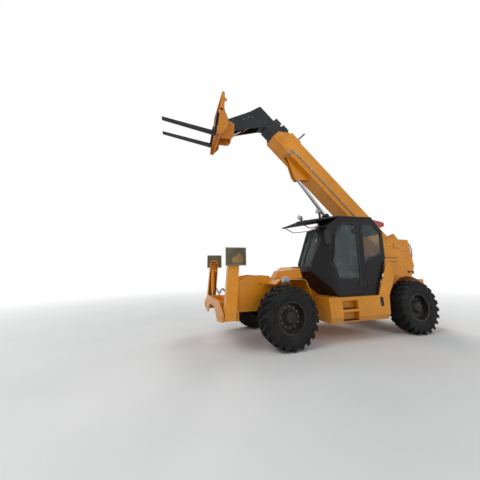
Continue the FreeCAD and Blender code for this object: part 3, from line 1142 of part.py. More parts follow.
def make_cylinder(name, frame, eye_at, sizes):
    """A cylinder's barrel and rod along a frame, from its base pin at the frame's origin."""
    radius, rod_r, barrel_l, rod_l, pin_r, width, neck_l = sizes
    barrel = body(name + "_barrel_body", frame)
    eye(barrel, "0", "0", pin_r + " + eye_wall", width)
    pad(barrel, FRONT, [box("-%s / 2" % width, width + " / 2", "-%s / 2" % radius, radius + " / 2")],
        "-" + neck_l, neck_l)
    pad(barrel, FRONT, [ring("0", "0", radius)], "-" + barrel_l, "%s - %s" % (barrel_l, neck_l))
    cut(barrel, SIDE, [ring("0", "0", pin_r + " + pin_gap")], "-" + width, "2 * " + width)
    cut(barrel, FRONT, [ring("0", "0", rod_r + " + pin_gap")], "-" + barrel_l, "%s - %s" % (barrel_l, neck_l))
    rod = body(name + "_rod_body", frame)
    pad(rod, FRONT, [ring("0", "0", rod_r)], "-(%s)" % eye_at, rod_l)
    eye(rod, "-(%s)" % eye_at, "0", pin_r + " + eye_wall / 2", width)
    node(name + "_cylinder", barrel)
    node(name + "_rod", rod)
    return rod


def inside(frame, y, z):
    """A point of the side view as the frame sees it."""
    base_y, base_z, angle = frame
    back, up = "((%s) - (%s))" % (y, base_y), "((%s) - (%s))" % (z, base_z)
    return ("%s * cos(%s) - %s * sin(%s)" % (back, angle, up, angle),
            "%s * sin(%s) + %s * cos(%s)" % (back, angle, up, angle))


# Carriage and forks
def make_carriage():
    """Side plates, cross members, hook plates on the boom head's pin and the tilt rod's lugs."""
    part = body("carriage_body", TOOL)
    plate = ["plate_top_front soft_r", "plate_foot_front", "plate_foot_rear soft_r", "plate_rear_low sweep_r",
             "plate_rear sweep_r", "plate_waist sweep_r", "plate_lug_low soft_r", "plate_lug_tip soft_r",
             "plate_lug_high soft_r", "plate_top_rear soft_r"]
    pads(part, SIDE, [plate], "plate_half - plate_t", "plate_t")
    back_face = "back_plate_y - plate_t"
    for front, back, low, high in ((back_face, "back_plate_y", "plate_foot_rear_z", "back_plate_z"),
                                   ("plate_top_front_y", "plate_top_rear_y", "top_bar_z",
                                    "top_bar_z + top_bar_h"),
                                   ("fork_y + running_gap", back_face, "low_bar_z",
                                    "low_bar_z + low_bar_h")):
        pad(part, SIDE, [box(front, back, low, high)], "-plate_half", "2 * plate_half")
    hook = ["hook_front_high", "hook_pivot_front soft_r", "hook_pivot_rear soft_r", "hook_chin soft_r",
            "hook_low_rear soft_r", "hook_low_front"]
    pads(part, SIDE, [hook], "hook_half - hook_t", "hook_t")
    pad(part, SIDE, [ring("0", "0", "tool_pin_r")], "-hook_half - pin_head", "2 * (hook_half + pin_head)")
    pin = inside(TOOL, *TILT_EYE)
    lug = [(back_face, pin[1] + " - lug_half"),
           (pin[0] + " + eye_wall", pin[1] + " - lug_half", "soft_r"),
           (pin[0] + " + lug_half", pin[1] + " + eye_wall", "soft_r"),
           (back_face, pin[1] + " + eye_wall")]
    pads(part, SIDE, [lug], "tilt_eye_w / 2 + seat_gap", "lug_t")
    for side in (1, -1):
        at = "tilt_eye_w / 2 + seat_gap" if side > 0 else "-tilt_eye_w / 2 - seat_gap - lug_t - pin_head"
        pad(part, SIDE, [ring(pin[0], pin[1], "tilt_pin_r")], at, "lug_t + pin_head")
    node("carriage", part)
    shaft = body("shaft_body", TOOL)
    pad(shaft, SIDE, [ring("shaft_y", "shaft_z", "bar_r")], "-plate_half + plate_t",
        "2 * (plate_half - plate_t)")
    node("fork_shaft", shaft)
    fork = body("fork_body", TOOL)
    outline = [("fork_y", "fork_z", "soft_r"), ("fork_y - fork_l", "fork_z + fork_t - fork_tip_t"),
               ("fork_y - fork_l", "fork_z + fork_t"),
               ("fork_y - fork_shank_t", "fork_z + fork_t", "fork_round"),
               ("fork_y - fork_shank_t", "fork_z + fork_h"), ("fork_y", "fork_z + fork_h")]
    pad(fork, SIDE, [outline], "fork_x - fork_w / 2", "fork_w")
    pad(fork, SIDE, [ring("shaft_y", "shaft_z", "bar_r + fork_eye_wall")], "fork_x - fork_w / 2", "fork_w")
    cut(fork, SIDE, [ring("shaft_y", "shaft_z", "bar_r + pin_gap")], "fork_x - fork_w", "2 * fork_w")
    both("forks", fork)


# Cab
CAB_SIDE = ["cab_roof_front cab_round", "cab_brow cab_round", "cab_nose_high soft_r", "cab_nose_low soft_r",
            "cab_low_front", "cab_low_rear", "cab_wide_rear sweep_r", "cab_high_rear sweep_r",
            "cab_roof_rear cab_round"]
CAB_PLAN = [("cab_in", "cab_nose_low_y"), ("cab_corner_x", "cab_nose_low_y"), ("cab_out", "cab_corner_y"),
            ("cab_out", "cab_wide_rear_y + cab_wall"), ("cab_in", "cab_wide_rear_y + cab_wall")]
DOOR = ["door_roof_front cab_round", "door_roof_rear soft_r", "door_low_rear soft_r", "door_low_front soft_r",
        "door_front_low soft_r", "door_front_high soft_r"]
PANE = ["pane_roof_front soft_r", "pane_roof_rear soft_r", "pane_low_rear soft_r", "pane_low_front soft_r",
        "pane_front_low soft_r", "pane_front_high soft_r"]
SCREEN = ("cab_nose_high_z + post_w / 2", "cab_brow_z - post_w / 2")
QUARTER = ["quarter_roof_front soft_r", "quarter_roof_rear soft_r", "quarter_high_rear soft_r",
           "quarter_low_rear soft_r", "quarter_low_front soft_r"]


def prism(name, plane, outline, start, depth):
    """A body of one outline."""
    part = body(name)
    pad(part, plane, [outline], start, depth)
    return part


def make_cab():
    """The cab's shell with its openings, its roof, floor, door and glass."""
    plan_low, plan_h = "cab_low_front_z - cab_wall", "cab_roof_rear_z - cab_low_front_z + 2 * cab_wall"
    forms = []
    for name, gap in (("cab_outside", "0"), ("cab_inside", "-cab_wall")):
        side = prism(name + "_side", SIDE, grow(CAB_SIDE, gap), "cab_in - cab_wall",
                     "cab_out - cab_in + 2 * cab_wall")
        plan = prism(name + "_plan", PLAN, grow(CAB_PLAN, gap), plan_low, plan_h)
        forms.append(boolean("Common", name, side, plan))
    shell = boolean("Cut", "cab_hollow", *forms)
    openings = [
        prism("door_hole", SIDE, DOOR, "cab_out - 2 * cab_wall", "4 * cab_wall"),
        prism("quarter_hole", SIDE, QUARTER, "cab_out - 2 * cab_wall", "4 * cab_wall"),
        prism("right_hole", SIDE, grow(PANE, "-soft_r"), "cab_in - cab_wall", "3 * cab_wall"),
        prism("front_hole", FRONT, box("cab_in + post_w", "cab_corner_x - post_w / 2", SCREEN[0], SCREEN[1]),
              "cab_nose_low_y - post_w", "screen_depth"),
        prism("rear_hole", FRONT, box("cab_in + post_w", "cab_out - post_w", "cab_wide_rear_z + post_w",
                                      "cab_high_rear_z - post_w"), "cab_high_rear_y - 3 * cab_wall",
              "4 * cab_wall"),
    ]
    shell = boolean("Cut", "cab_shell_cut", shell, join("cab_openings", *openings))
    node("cab_shell", shell)
    make_door()
    make_glass()
    make_cab_fittings()
    make_visor()
    make_lamps()
    make_mirror_and_wiper()


def make_door():
    """The door's frame with its window cut, hinge barrels at the rear post and a handle."""
    part = body("door_body")
    pad(part, SIDE, [grow(DOOR, "-door_gap")], "cab_out - door_t", "door_t")
    cut(part, SIDE, [PANE], "cab_out - door_t", "door_t")
    for z in ("hinge_low_z", "hinge_high_z"):
        pad(part, PLAN, [ring("cab_out + door_hinge_r", "hinge_y", "door_hinge_r")], z, "door_hinge_h")
        pad(part, PLAN, [box("cab_out", "cab_out + door_skin", "door_low_rear_y - post_w", "hinge_y")], z,
            "door_hinge_h")
    pad(part, SIDE, [box("handle_y", "handle_y + handle_l", "handle_z", "handle_z + handle_t")], "cab_out",
        "handle_t")
    node("cab_door", part)
    glass = prism("door_glass_body", SIDE, PANE, "cab_out - door_t / 2 - glass_t / 2", "glass_t")
    node("door_glass", glass)


def screen_y(z):
    """The cab's front face at a height, between its nose and its brow."""
    return ("cab_nose_high_y + (cab_brow_y - cab_nose_high_y) * ((%s) - cab_nose_high_z)"
            " / (cab_brow_z - cab_nose_high_z)" % z)


def make_glass():
    """The fixed windows."""
    quarter = prism("quarter_glass_body", SIDE, QUARTER, "cab_out - cab_wall / 2", "glass_t")
    right = prism("right_glass_body", SIDE, grow(PANE, "-soft_r"), "cab_in + cab_wall / 2", "glass_t")
    low, high = SCREEN
    front = [(screen_y(low) + " + screen_in", low), (screen_y(low) + " + screen_in + glass_t", low),
             (screen_y(high) + " + screen_in + glass_t", high), (screen_y(high) + " + screen_in", high)]
    node("windscreen", prism("windscreen_body", SIDE, front, "cab_in + post_w",
                             "cab_corner_x - cab_in - post_w * 3 / 2"))
    rear = box("cab_in + post_w", "cab_out - post_w", "cab_wide_rear_z + post_w", "cab_high_rear_z - post_w")
    rear = prism("rear_glass_body", FRONT, rear, "cab_wide_rear_y - cab_wall / 2", "glass_t")
    node("cab_windows", gather("cab_windows", quarter, right, rear))


def make_cab_fittings():
    """The roof slab, the seat and the steering wheel."""
    roof = [("cab_roof_front_y", "cab_roof_front_z"), ("cab_roof_rear_y", "cab_roof_rear_z"),
            ("cab_roof_rear_y", "cab_roof_rear_z + roof_t"), ("cab_roof_front_y", "cab_roof_front_z + roof_t")]
    node("cab_roof", prism("cab_roof_body", SIDE, roof, "cab_in", "cab_out - cab_in"))
    floor_z = "cab_low_front_z + cab_wall"
    left = "seat_x - seat_w / 2"
    seat = body("seat_body")
    pad(seat, SIDE, [box("seat_y + seat_t", "seat_y + seat_l - seat_t", floor_z, "seat_z - seat_t")],
        left + " + seat_t", "seat_w - 2 * seat_t")
    pad(seat, SIDE, [box("seat_y", "seat_y + seat_l", "seat_z - seat_t", "seat_z")], left, "seat_w")
    pad(seat, SIDE, [box("seat_y + seat_l - seat_t", "seat_y + seat_l", "seat_z - seat_t", "seat_z + back_h")],
        left, "seat_w")
    node("seat", seat)
    column = body("steering_body", ("wheel_y", "wheel_z", "wheel_tilt"))
    tie(column, Placement__Base__x="seat_x")
    column_l = "((wheel_z - (%s)) / cos(wheel_tilt) - 2 * wheel_rim_r * tan(wheel_tilt))" % floor_z
    pad(column, PLAN, [ring("0", "0", "2 * wheel_rim_r")], "-" + column_l, column_l)
    pad(column, PLAN, [ring("0", "0", "wheel_r"), ring("0", "0", "wheel_r - 2 * wheel_rim_r")], "-wheel_rim_r",
        "2 * wheel_rim_r")
    pad(column, PLAN, [box("-wheel_r + wheel_rim_r", "wheel_r - wheel_rim_r", "-wheel_rim_r", "wheel_rim_r")],
        "-wheel_rim_r / 2", "wheel_rim_r")
    node("steering_wheel", column)


def visor_z(y):
    """The visor's underside at a y, between its tip and its root."""
    return ("(visor_tip_z + (visor_root_z - visor_tip_z) * ((%s) - visor_tip_y)"
            " / (visor_root_y - visor_tip_y))" % y)


def make_visor():
    """The visor ahead of the roof: two rails and cross bars under a sheet, with guard bars below."""
    part = body("visor_body")
    width = "visor_out - visor_in"
    for low, high, x, across in (("visor_t / 2", "visor_t", "visor_in", width),
                                 ("0", "visor_t + lamp_arm_t", "visor_in", "visor_rail"),
                                 ("0", "visor_t + lamp_arm_t", "visor_out - visor_rail", "visor_rail")):
        pad(part, SIDE, [[("visor_tip_y", "visor_tip_z + " + low), ("visor_root_y", "visor_root_z + " + low),
                          ("visor_root_y", "visor_root_z + " + high),
                          ("visor_tip_y", "visor_tip_z + " + high)]], x, across)
    for number in range(int(size("visor_bars"))):
        near = "visor_tip_y + %d * (visor_root_y - visor_tip_y - visor_bar_w) / visor_bars" % number
        far = near + " + visor_bar_w"
        pad(part, SIDE, [[(near, visor_z(near)), (far, visor_z(far)), (far, visor_z(far) + " + visor_t"),
                          (near, visor_z(near) + " + visor_t")]], "visor_in", width)
    back = screen_y("guard_back_z")
    guard = [("guard_tip_y", visor_z("guard_tip_y")), ("guard_chin_y", "guard_chin_z", "sweep_r"),
             (back, "guard_back_z"), (screen_y("guard_back_z + guard_t"), "guard_back_z + guard_t"),
             ("guard_chin_y", "guard_chin_z + guard_t", "sweep_r"),
             ("guard_tip_y + 2 * guard_t", visor_z("guard_tip_y + 2 * guard_t"))]
    for x in ("visor_in + guard_t", "visor_out - 2 * guard_t"):
        pad(part, SIDE, [guard], x, "guard_t")
    for lamp in ("work_lamp_a", "work_lamp_b"):
        foot = visor_z(lamp + "_y") + " + visor_t / 2"
        pad(part, FRONT, [box("visor_out - visor_rail - work_lamp_r", "visor_out - visor_rail / 2", foot,
                              lamp + "_z")], lamp + "_y", "lamp_arm_t")
    node("cab_visor", part)


def lamp(name, x, y, z, sizes):
    """A round lamp with a wider front ring; y is its rear face."""
    radius, length = sizes
    part = body(name)
    pad(part, FRONT, [ring(x, z, "%s - lamp_bezel / 2" % radius)], "%s - %s" % (y, length), length)
    pad(part, FRONT, [ring(x, z, radius)], "%s - %s" % (y, length), "lamp_bezel")
    return part


def make_lamps():
    """Two headlamps on the front fenders and two work lamps on the visor."""
    head = lamp("head_lamp", "lamp_x", "lamp_y - wheelbase", "lamp_z", ("lamp_r", "lamp_l"))
    lamps = [head, mirrored("head_lamp_right", head)]
    for at in ("work_lamp_a", "work_lamp_b"):
        lamps.append(lamp(at, "visor_out - work_lamp_r", at + "_y", at + "_z", ("work_lamp_r", "work_lamp_l")))
    node("lamps", gather("lamps", *lamps))


def make_mirror_and_wiper():
    """The mirror on the cab's front corner and the wiper on the windscreen."""
    mirror = body("mirror_body")
    outline = box("mirror_y", "mirror_y + mirror_w", "mirror_z", "mirror_z + mirror_h")
    pad(mirror, SIDE, [[point + ("soft_r",) for point in outline]], "mirror_x", "mirror_t")
    arm_y, arm_z = "mirror_y + mirror_w", "mirror_z + mirror_h"
    pad(mirror, SIDE, [box(arm_y + " - mirror_arm / 2", arm_y + " + mirror_arm / 2", arm_z + " - mirror_arm",
                           arm_z)], "cab_out", "mirror_x + mirror_t - cab_out")
    node("mirror", mirror)
    low, high = "wiper_z", "wiper_z + wiper_l"
    face_low, face_high = screen_y(low) + " + screen_in", screen_y(high) + " + screen_in"
    arm = [(face_low + " - wiper_t", low), (face_low, low), (face_high, high),
           (face_high + " - wiper_t", high)]
    node("wiper", prism("wiper_body", SIDE, arm, "wiper_x", "2 * wiper_t"))


def make_body_panels():
    """Side box with steps, the wing behind the cab, the front cowl, fenders and the engine cover."""
    part = body("side_box_body")
    sill = ["sill_front_low", "sill_front_high", "sill_rear_high", "sill_notch", "sill_rear_low"]
    pad(part, SIDE, [sill], "rail_x", "sidebox_x - rail_x")
    cut(part, SIDE, [grow(sill, "-skin_t")], "rail_x", "sidebox_x - rail_x - step_d - skin_t")
    cut(part, FRONT, [[("sidebox_x - skirt_in", "sill_front_low_z"), ("sidebox_x", "sill_front_low_z"),
                       ("sidebox_x", "sill_front_low_z + skirt_h")]], "sill_front_high_y", "wheelbase")
    for low in ("step_low_z", "step_high_z"):
        cut(part, SIDE, [box("step_y", "step_y + step_l", low, low + " + step_h")], "sidebox_x - step_d",
            "step_d")
    wing = ["wing_front", "wing_rear", "wing_mid", "sill_notch", "sill_rear_high"]
    pad(part, SIDE, [wing], "sidebox_x - wing_t", "wing_t")
    cut(part, SIDE, [box("box_slot_y", "box_slot_end_y", "box_slot_z", "box_slot_end_z")],
        "sidebox_x - step_d / 2", "step_d / 2")
    node("side_box", part)
    cowl = ["rail_step_low", "rail_cowl soft_r", "rail_cowl_back", "rail_cowl_low"]
    node("front_cowl", prism("front_cowl_body", SIDE, cowl, "rail_x - rail_t", "cowl_x - rail_x + rail_t"))
    make_fenders()
    hood = body("hood_body")
    outline = ["hood_low_front", "hood_high_front sweep_r", "hood_crown_front sweep_r",
               "hood_crown_rear sweep_r", "hood_high_rear sweep_r", "hood_low_rear"]
    pad(hood, SIDE, [outline], "hood_x", "-rail_x - hood_x")
    cut(hood, SIDE, [grow(outline, "-skin_t")], "hood_x + skin_t", "-rail_x - hood_x - skin_t")
    vents = []
    for number in range(int(size("vent_count"))):
        front = "vent_y + %d * vent_pitch" % number
        vents.append(box(front, front + " + vent_w", "vent_z", "vent_z + vent_h"))
    cut(hood, SIDE, vents, "hood_x", "skin_t")
    node("engine_cover", hood)
    engine = body("engine_body")
    pad(engine, SIDE, [box("engine_y", "engine_y + engine_l", "engine_z", "engine_z + engine_h")],
        "-rail_x - engine_w", "engine_w")
    node("engine", engine)


def make_fenders():
    """A folded sheet over each front wheel, with the headlamp's plate, and a curved one at the rear."""
    front = body("front_fender", ("-wheelbase", "0", "0"))
    sheet_line = ["fender_tip", "fender_crown_a sweep_r", "fender_crown_b sweep_r", "fender_foot",
                  ("fender_foot_y - fender_t", "fender_foot_z"),
                  ("fender_crown_b_y - fender_t", "fender_crown_b_z - fender_t", "sweep_r - fender_t"),
                  ("fender_crown_a_y + fender_t / 2", "fender_crown_a_z - fender_t", "sweep_r - fender_t"),
                  ("fender_tip_y + fender_t / 2", "fender_tip_z - fender_t")]
    pad(front, SIDE, [sheet_line], "rail_x", "fender_x - rail_x")
    pad(front, FRONT, [box("fender_x - lamp_r", "lamp_x", "lamp_z - lamp_r / 2", "lamp_z + lamp_r / 2")],
        "lamp_y", "lamp_arm_t")
    rear = body("rear_fender", ("0", "axle_z", "0"))
    pad(rear, SIDE, [ring("0", "0", "fender_r"), ring("0", "0", "fender_r - fender_t")], "tower_x",
        "fender_x - tower_x")
    cut(rear, SIDE, [box("-2 * fender_r", "2 * fender_r", "-2 * fender_r", "fender_r / 2")], "tower_x",
        "fender_x - tower_x")
    sheets = [front, mirrored("front_fender_right", front), rear, mirrored("rear_fender_right", rear)]
    node("fenders", gather("fenders", *sheets))


def write_parts():
    """Check every object and sub-part, then write each sub-part's file."""
    failed = [item.Name for item in doc.Objects if "Invalid" in item.State or "Error" in item.State]
    failed += [name for name, thing in nodes.items() if thing.Shape.isNull() or not thing.Shape.isValid()]
    failed += [name for name, thing in nodes.items() if not thing.Shape.Solids]
    for feature in cuts:
        if feature.BaseFeature and feature.Shape.Volume > feature.BaseFeature.Shape.Volume * (1 - 1e-9):
            failed.append(feature.Name + " cuts nothing")
    if failed:
        raise RuntimeError("failed: " + ", ".join(failed))
    os.makedirs("parts", exist_ok=True)
    for name, thing in nodes.items():
        thing.Shape.exportStep("parts/%s.step" % name)


make_running_gear()
make_drive_line()
make_frame()
make_tower()
make_tail()
make_front_beam()
make_stabilizers()
make_boom()
make_cylinder("lift", LIFT, span(LIFT_BASE, LIFT_EYE),
              ("lift_r", "lift_rod_r", "lift_barrel", "lift_rod_l", "lift_pin_r", "lift_eye_w",
               "lift_neck_l"))
make_cylinder("tilt", TILT, span(TILT_BASE, TILT_EYE),
              ("tilt_r", "tilt_rod_r", "tilt_barrel", "tilt_rod_l", "tilt_pin_r", "tilt_eye_w",
               "tilt_neck_l"))
make_carriage()
make_cab()
make_body_panels()
doc.recompute()
write_parts()
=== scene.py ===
import math

import bmesh
import bpy
from mathutils import Matrix, Vector


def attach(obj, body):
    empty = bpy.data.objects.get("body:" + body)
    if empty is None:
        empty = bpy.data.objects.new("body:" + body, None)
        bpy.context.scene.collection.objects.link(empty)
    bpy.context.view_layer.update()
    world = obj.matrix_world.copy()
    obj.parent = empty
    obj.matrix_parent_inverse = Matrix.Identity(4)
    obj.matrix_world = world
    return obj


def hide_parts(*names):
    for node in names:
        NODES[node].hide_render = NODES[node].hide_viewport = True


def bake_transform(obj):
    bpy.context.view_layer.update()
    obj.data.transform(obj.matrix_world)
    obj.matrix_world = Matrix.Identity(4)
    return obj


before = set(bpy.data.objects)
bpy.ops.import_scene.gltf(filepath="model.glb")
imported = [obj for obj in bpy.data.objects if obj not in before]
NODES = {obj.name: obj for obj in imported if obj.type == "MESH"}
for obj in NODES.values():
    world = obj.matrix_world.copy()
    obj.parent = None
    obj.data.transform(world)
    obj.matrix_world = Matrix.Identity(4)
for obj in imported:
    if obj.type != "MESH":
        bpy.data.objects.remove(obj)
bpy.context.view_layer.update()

# Sizes in metres. A point (x, y, z) is given from the rear axle's foot: x to the machine's left,
# y backwards, z up. A point (x, s, t) on the boom is s along it from its pivot, t above its axis.
REAR_AXLE_Y = 2.51
WHEELBASE = 3.494
TRACK_HALF = 1.005
AXLE_Z = 0.62
TREAD_RADIUS = 0.612
BOOM_PIVOT = Vector((0.0, 2.96, 2.2))
BOOM_ANGLE = math.radians(45)
BOOM_HALF, BOOM_FLOOR, BOOM_ROOF = 0.25, -0.31, 0.26
BOOM_TAIL, BOOM_END = -0.3, 4.822
SECTION_STEP = 0.03
HEAD_HALF = 0.16
TOOL_PIN = (5.855, -1.103)
TOOL_ANGLE = math.radians(7)
TILT_PIN = (5.52, -0.205)
CAB_WALL = 1.128
COLUMN_FOOT_Z = 0.995
SINK = 0.001
X, Y, Z = Vector((1, 0, 0)), Vector((0, 1, 0)), Vector((0, 0, 1))
SIDES = (1, -1)
ROUND = 2 * math.pi


def at(x, y, z):
    """A point given from the rear axle's foot, as the frame's own point."""
    return Vector((x, y + REAR_AXLE_Y, z))


def on_boom(x, s, t):
    """A point given along the boom, as the frame's own point."""
    return Vector((x, BOOM_PIVOT.y - s * math.cos(BOOM_ANGLE) + t * math.sin(BOOM_ANGLE),
                   BOOM_PIVOT.z + s * math.sin(BOOM_ANGLE) + t * math.cos(BOOM_ANGLE)))


def over_boom(t, x, s):
    """The same with the height first, for outlines seen from above or below."""
    return on_boom(x, s, t)


BOOM_UP = (on_boom(0, 0, 1) - on_boom(0, 0, 0)).normalized()


# Materials
class Graph:
    """The node tree of a material or of the world, with short calls."""

    def __init__(self, owner):
        owner.use_nodes = True
        self.owner, self.tree = owner, owner.node_tree

    def feed(self, socket, value):
        """Links an output to the socket, or sets the socket to a constant."""
        if isinstance(value, bpy.types.NodeSocket):
            self.tree.links.new(value, socket)
        elif socket.type == "RGBA":
            socket.default_value = (*value, 1.0)
        else:
            socket.default_value = value

    def node(self, kind, inputs=None, **settings):
        """A new node, with its inputs given by name or number."""
        node = self.tree.nodes.new(kind)
        for key, value in settings.items():
            setattr(node, key, value)
        for key, value in (inputs or {}).items():
            self.feed(node.inputs[key], value)
        return node

    def shade(self, inputs):
        """Inputs of the material's own shader."""
        for key, value in inputs.items():
            self.feed(self.tree.nodes["Principled BSDF"].inputs[key], value)

    def place(self):
        return self.node("ShaderNodeTexCoord").outputs["Object"]

    def noise(self, scale, detail=4.0, rough=0.55, stretch=None):
        place = self.place()
        if stretch:
            place = self.node("ShaderNodeMapping",
                              {"Scale": stretch, "Vector": place}).outputs["Vector"]
        return self.node("ShaderNodeTexNoise", {"Scale": scale, "Detail": detail,
                                                "Roughness": rough, "Vector": place}).outputs["Fac"]

    def ramp(self, value, low, high, out_low=0.0, out_high=1.0):
        """The value's range from low to high spread over another range, and held beyond it."""
        return self.node("ShaderNodeMapRange", {
            "Value": value, "From Min": low, "From Max": high,
            "To Min": out_low, "To Max": out_high}).outputs["Result"]

    def math(self, kind, a, b):
        return self.node("ShaderNodeMath", {0: a, 1: b}, operation=kind).outputs["Value"]

    def times(self, a, b):
        return self.math("MULTIPLY", a, b)

    def mix(self, factor, a, b):
        return self.node("ShaderNodeMix", {"Factor": factor, 6: a, 7: b},
                         data_type="RGBA").outputs[2]

    def height_of(self, vector):
        return self.node("ShaderNodeSeparateXYZ", {"Vector": vector}).outputs["Z"]

    def rounded(self, radius):
        """Normals as if each edge had this radius."""
        return self.node("ShaderNodeBevel", {"Radius": radius}, samples=4).outputs["Normal"]

    def edges(self, radius):
        """Near 1 along edges, 0 on flats."""
        true = self.node("ShaderNodeNewGeometry").outputs["True Normal"]
        dot = self.node("ShaderNodeVectorMath", {0: self.rounded(radius), 1: true},
                        operation="DOT_PRODUCT")
        return self.ramp(dot.outputs["Value"], 0.995, 0.93)

    def bump(self, value, strength, distance, round_radius=None):
        inputs = {"Strength": strength, "Distance": distance, "Height": value}
        if round_radius:
            inputs["Normal"] = self.rounded(round_radius)
        self.shade({"Normal": self.node("ShaderNodeBump", inputs).outputs["Normal"]})

    def seen(self):
        """1 for rays from the camera, mirrors and glass, 0 for the light on the object."""
        path = self.node("ShaderNodeLightPath").outputs
        return self.math("MAXIMUM", path["Is Camera Ray"],
                         self.math("MAXIMUM", path["Is Glossy Ray"], path["Is Transmission Ray"]))


def material(name):
    return Graph(bpy.data.materials.new(name))


def tinted(colour, share):
    return tuple(c * share for c in colour)


DUST = (0.23, 0.19, 0.145)
TYRE_DUST = (0.1, 0.088, 0.072)
EDGE_RADIUS = 0.004


def coated(name, colour, rough=0.38, coat=0.0, vary=0.08, dust=0.35, low=1.1,
           bare=(0.09, 0.075, 0.065), wear=0.5, peel=0.06, metallic=0.0, shine=0.4):
    """Paint with uneven colour and streaks, dust below low and on top, and worn edges."""
    g = material(name)
    patches = g.ramp(g.noise(1.7, 5), 0.32, 0.68)
    base = g.mix(patches, tinted(colour, 1 - vary * 1.6), tinted(colour, 1 + vary))
    streaks = g.ramp(g.noise(9.0, 6, 0.65, (1.0, 1.0, 0.22)), 0.5, 0.78)
    base = g.mix(g.times(streaks, 0.22), base, tinted(colour, 0.62))
    foot = g.ramp(g.height_of(g.place()), low, low - 0.85)
    normal = g.node("ShaderNodeNewGeometry").outputs["Normal"]
    top = g.ramp(g.height_of(normal), 0.55, 0.95, 0.0, 0.6)
    cloud = g.ramp(g.noise(5.5, 7, 0.68), 0.36, 0.66)
    dirt = g.times(g.math("MAXIMUM", foot, top), g.times(cloud, dust))
    chips = g.ramp(g.noise(34.0, 5, 0.7), 0.52, 0.64)
    worn = g.times(g.times(g.edges(EDGE_RADIUS * 1.6), chips), wear)
    gloss = g.ramp(g.noise(22.0, 5), 0.3, 0.7, rough - 0.07, rough + 0.09)
    g.shade({"Base Color": g.mix(worn, g.mix(dirt, base, DUST), bare),
             "Roughness": g.math("ADD", gloss, g.times(dirt, 0.45)),
             "Metallic": metallic, "Coat Weight": coat, "Coat Roughness": 0.15,
             "Specular IOR Level": shine})
    g.bump(g.noise(130.0, 2), peel, 0.001, EDGE_RADIUS)
    return g.owner


def rubber(name, colour):
    g = material(name)
    base = g.mix(g.ramp(g.noise(6.0, 6), 0.3, 0.7), tinted(colour, 0.7), tinted(colour, 1.5))
    dust = g.times(g.ramp(g.noise(3.2, 8, 0.7), 0.45, 0.75), 0.16)
    g.shade({"Base Color": g.mix(dust, base, TYRE_DUST),
             "Roughness": g.ramp(g.noise(18.0, 5), 0.3, 0.7, 0.62, 0.86),
             "Specular IOR Level": 0.22})
    g.bump(g.noise(160.0, 4, 0.7), 0.25, 0.002, 0.003)
    return g.owner


def chrome(name, light=(0.4, 0.4, 0.41), dark=(0.27, 0.265, 0.26)):
    g = material(name)
    g.shade({"Base Color": g.mix(g.ramp(g.noise(14.0, 5, 0.6, (6, 1, 1)), 0.35, 0.75), light, dark),
             "Metallic": 1.0,
             "Roughness": g.ramp(g.noise(40.0, 4), 0.3, 0.7, 0.16, 0.32)})
    g.bump(g.noise(300.0, 2), 0.03, 0.001)
    return g.owner


def glass(name, tint=(0.16, 0.21, 0.2), alpha=0.17):
    """A clear pane with a light smear, thin enough to need no refraction."""
    g = material(name)
    smear = g.ramp(g.noise(3.0, 6, 0.65), 0.42, 0.75)
    g.shade({"Base Color": g.mix(smear, tint, tinted(tint, 1.6)),
             "Roughness": g.ramp(g.noise(7.0, 6), 0.35, 0.75, 0.03, 0.12),
             "IOR": 1.45,
             "Alpha": g.ramp(smear, 0.0, 1.0, alpha, alpha + 0.1)})
    return g.owner


def plastic(name, colour, rough=0.5, grain=240.0, shine=0.3):
    g = material(name)
    patches = g.ramp(g.noise(8.0, 5), 0.3, 0.7)
    g.shade({"Base Color": g.mix(patches, tinted(colour, 0.8), tinted(colour, 1.2)),
             "Roughness": g.ramp(g.noise(30.0, 4), 0.3, 0.7, rough - 0.06, rough + 0.1),
             "Specular IOR Level": shine})
    g.bump(g.noise(grain, 3), 0.12, 0.002, 0.003)
    return g.owner


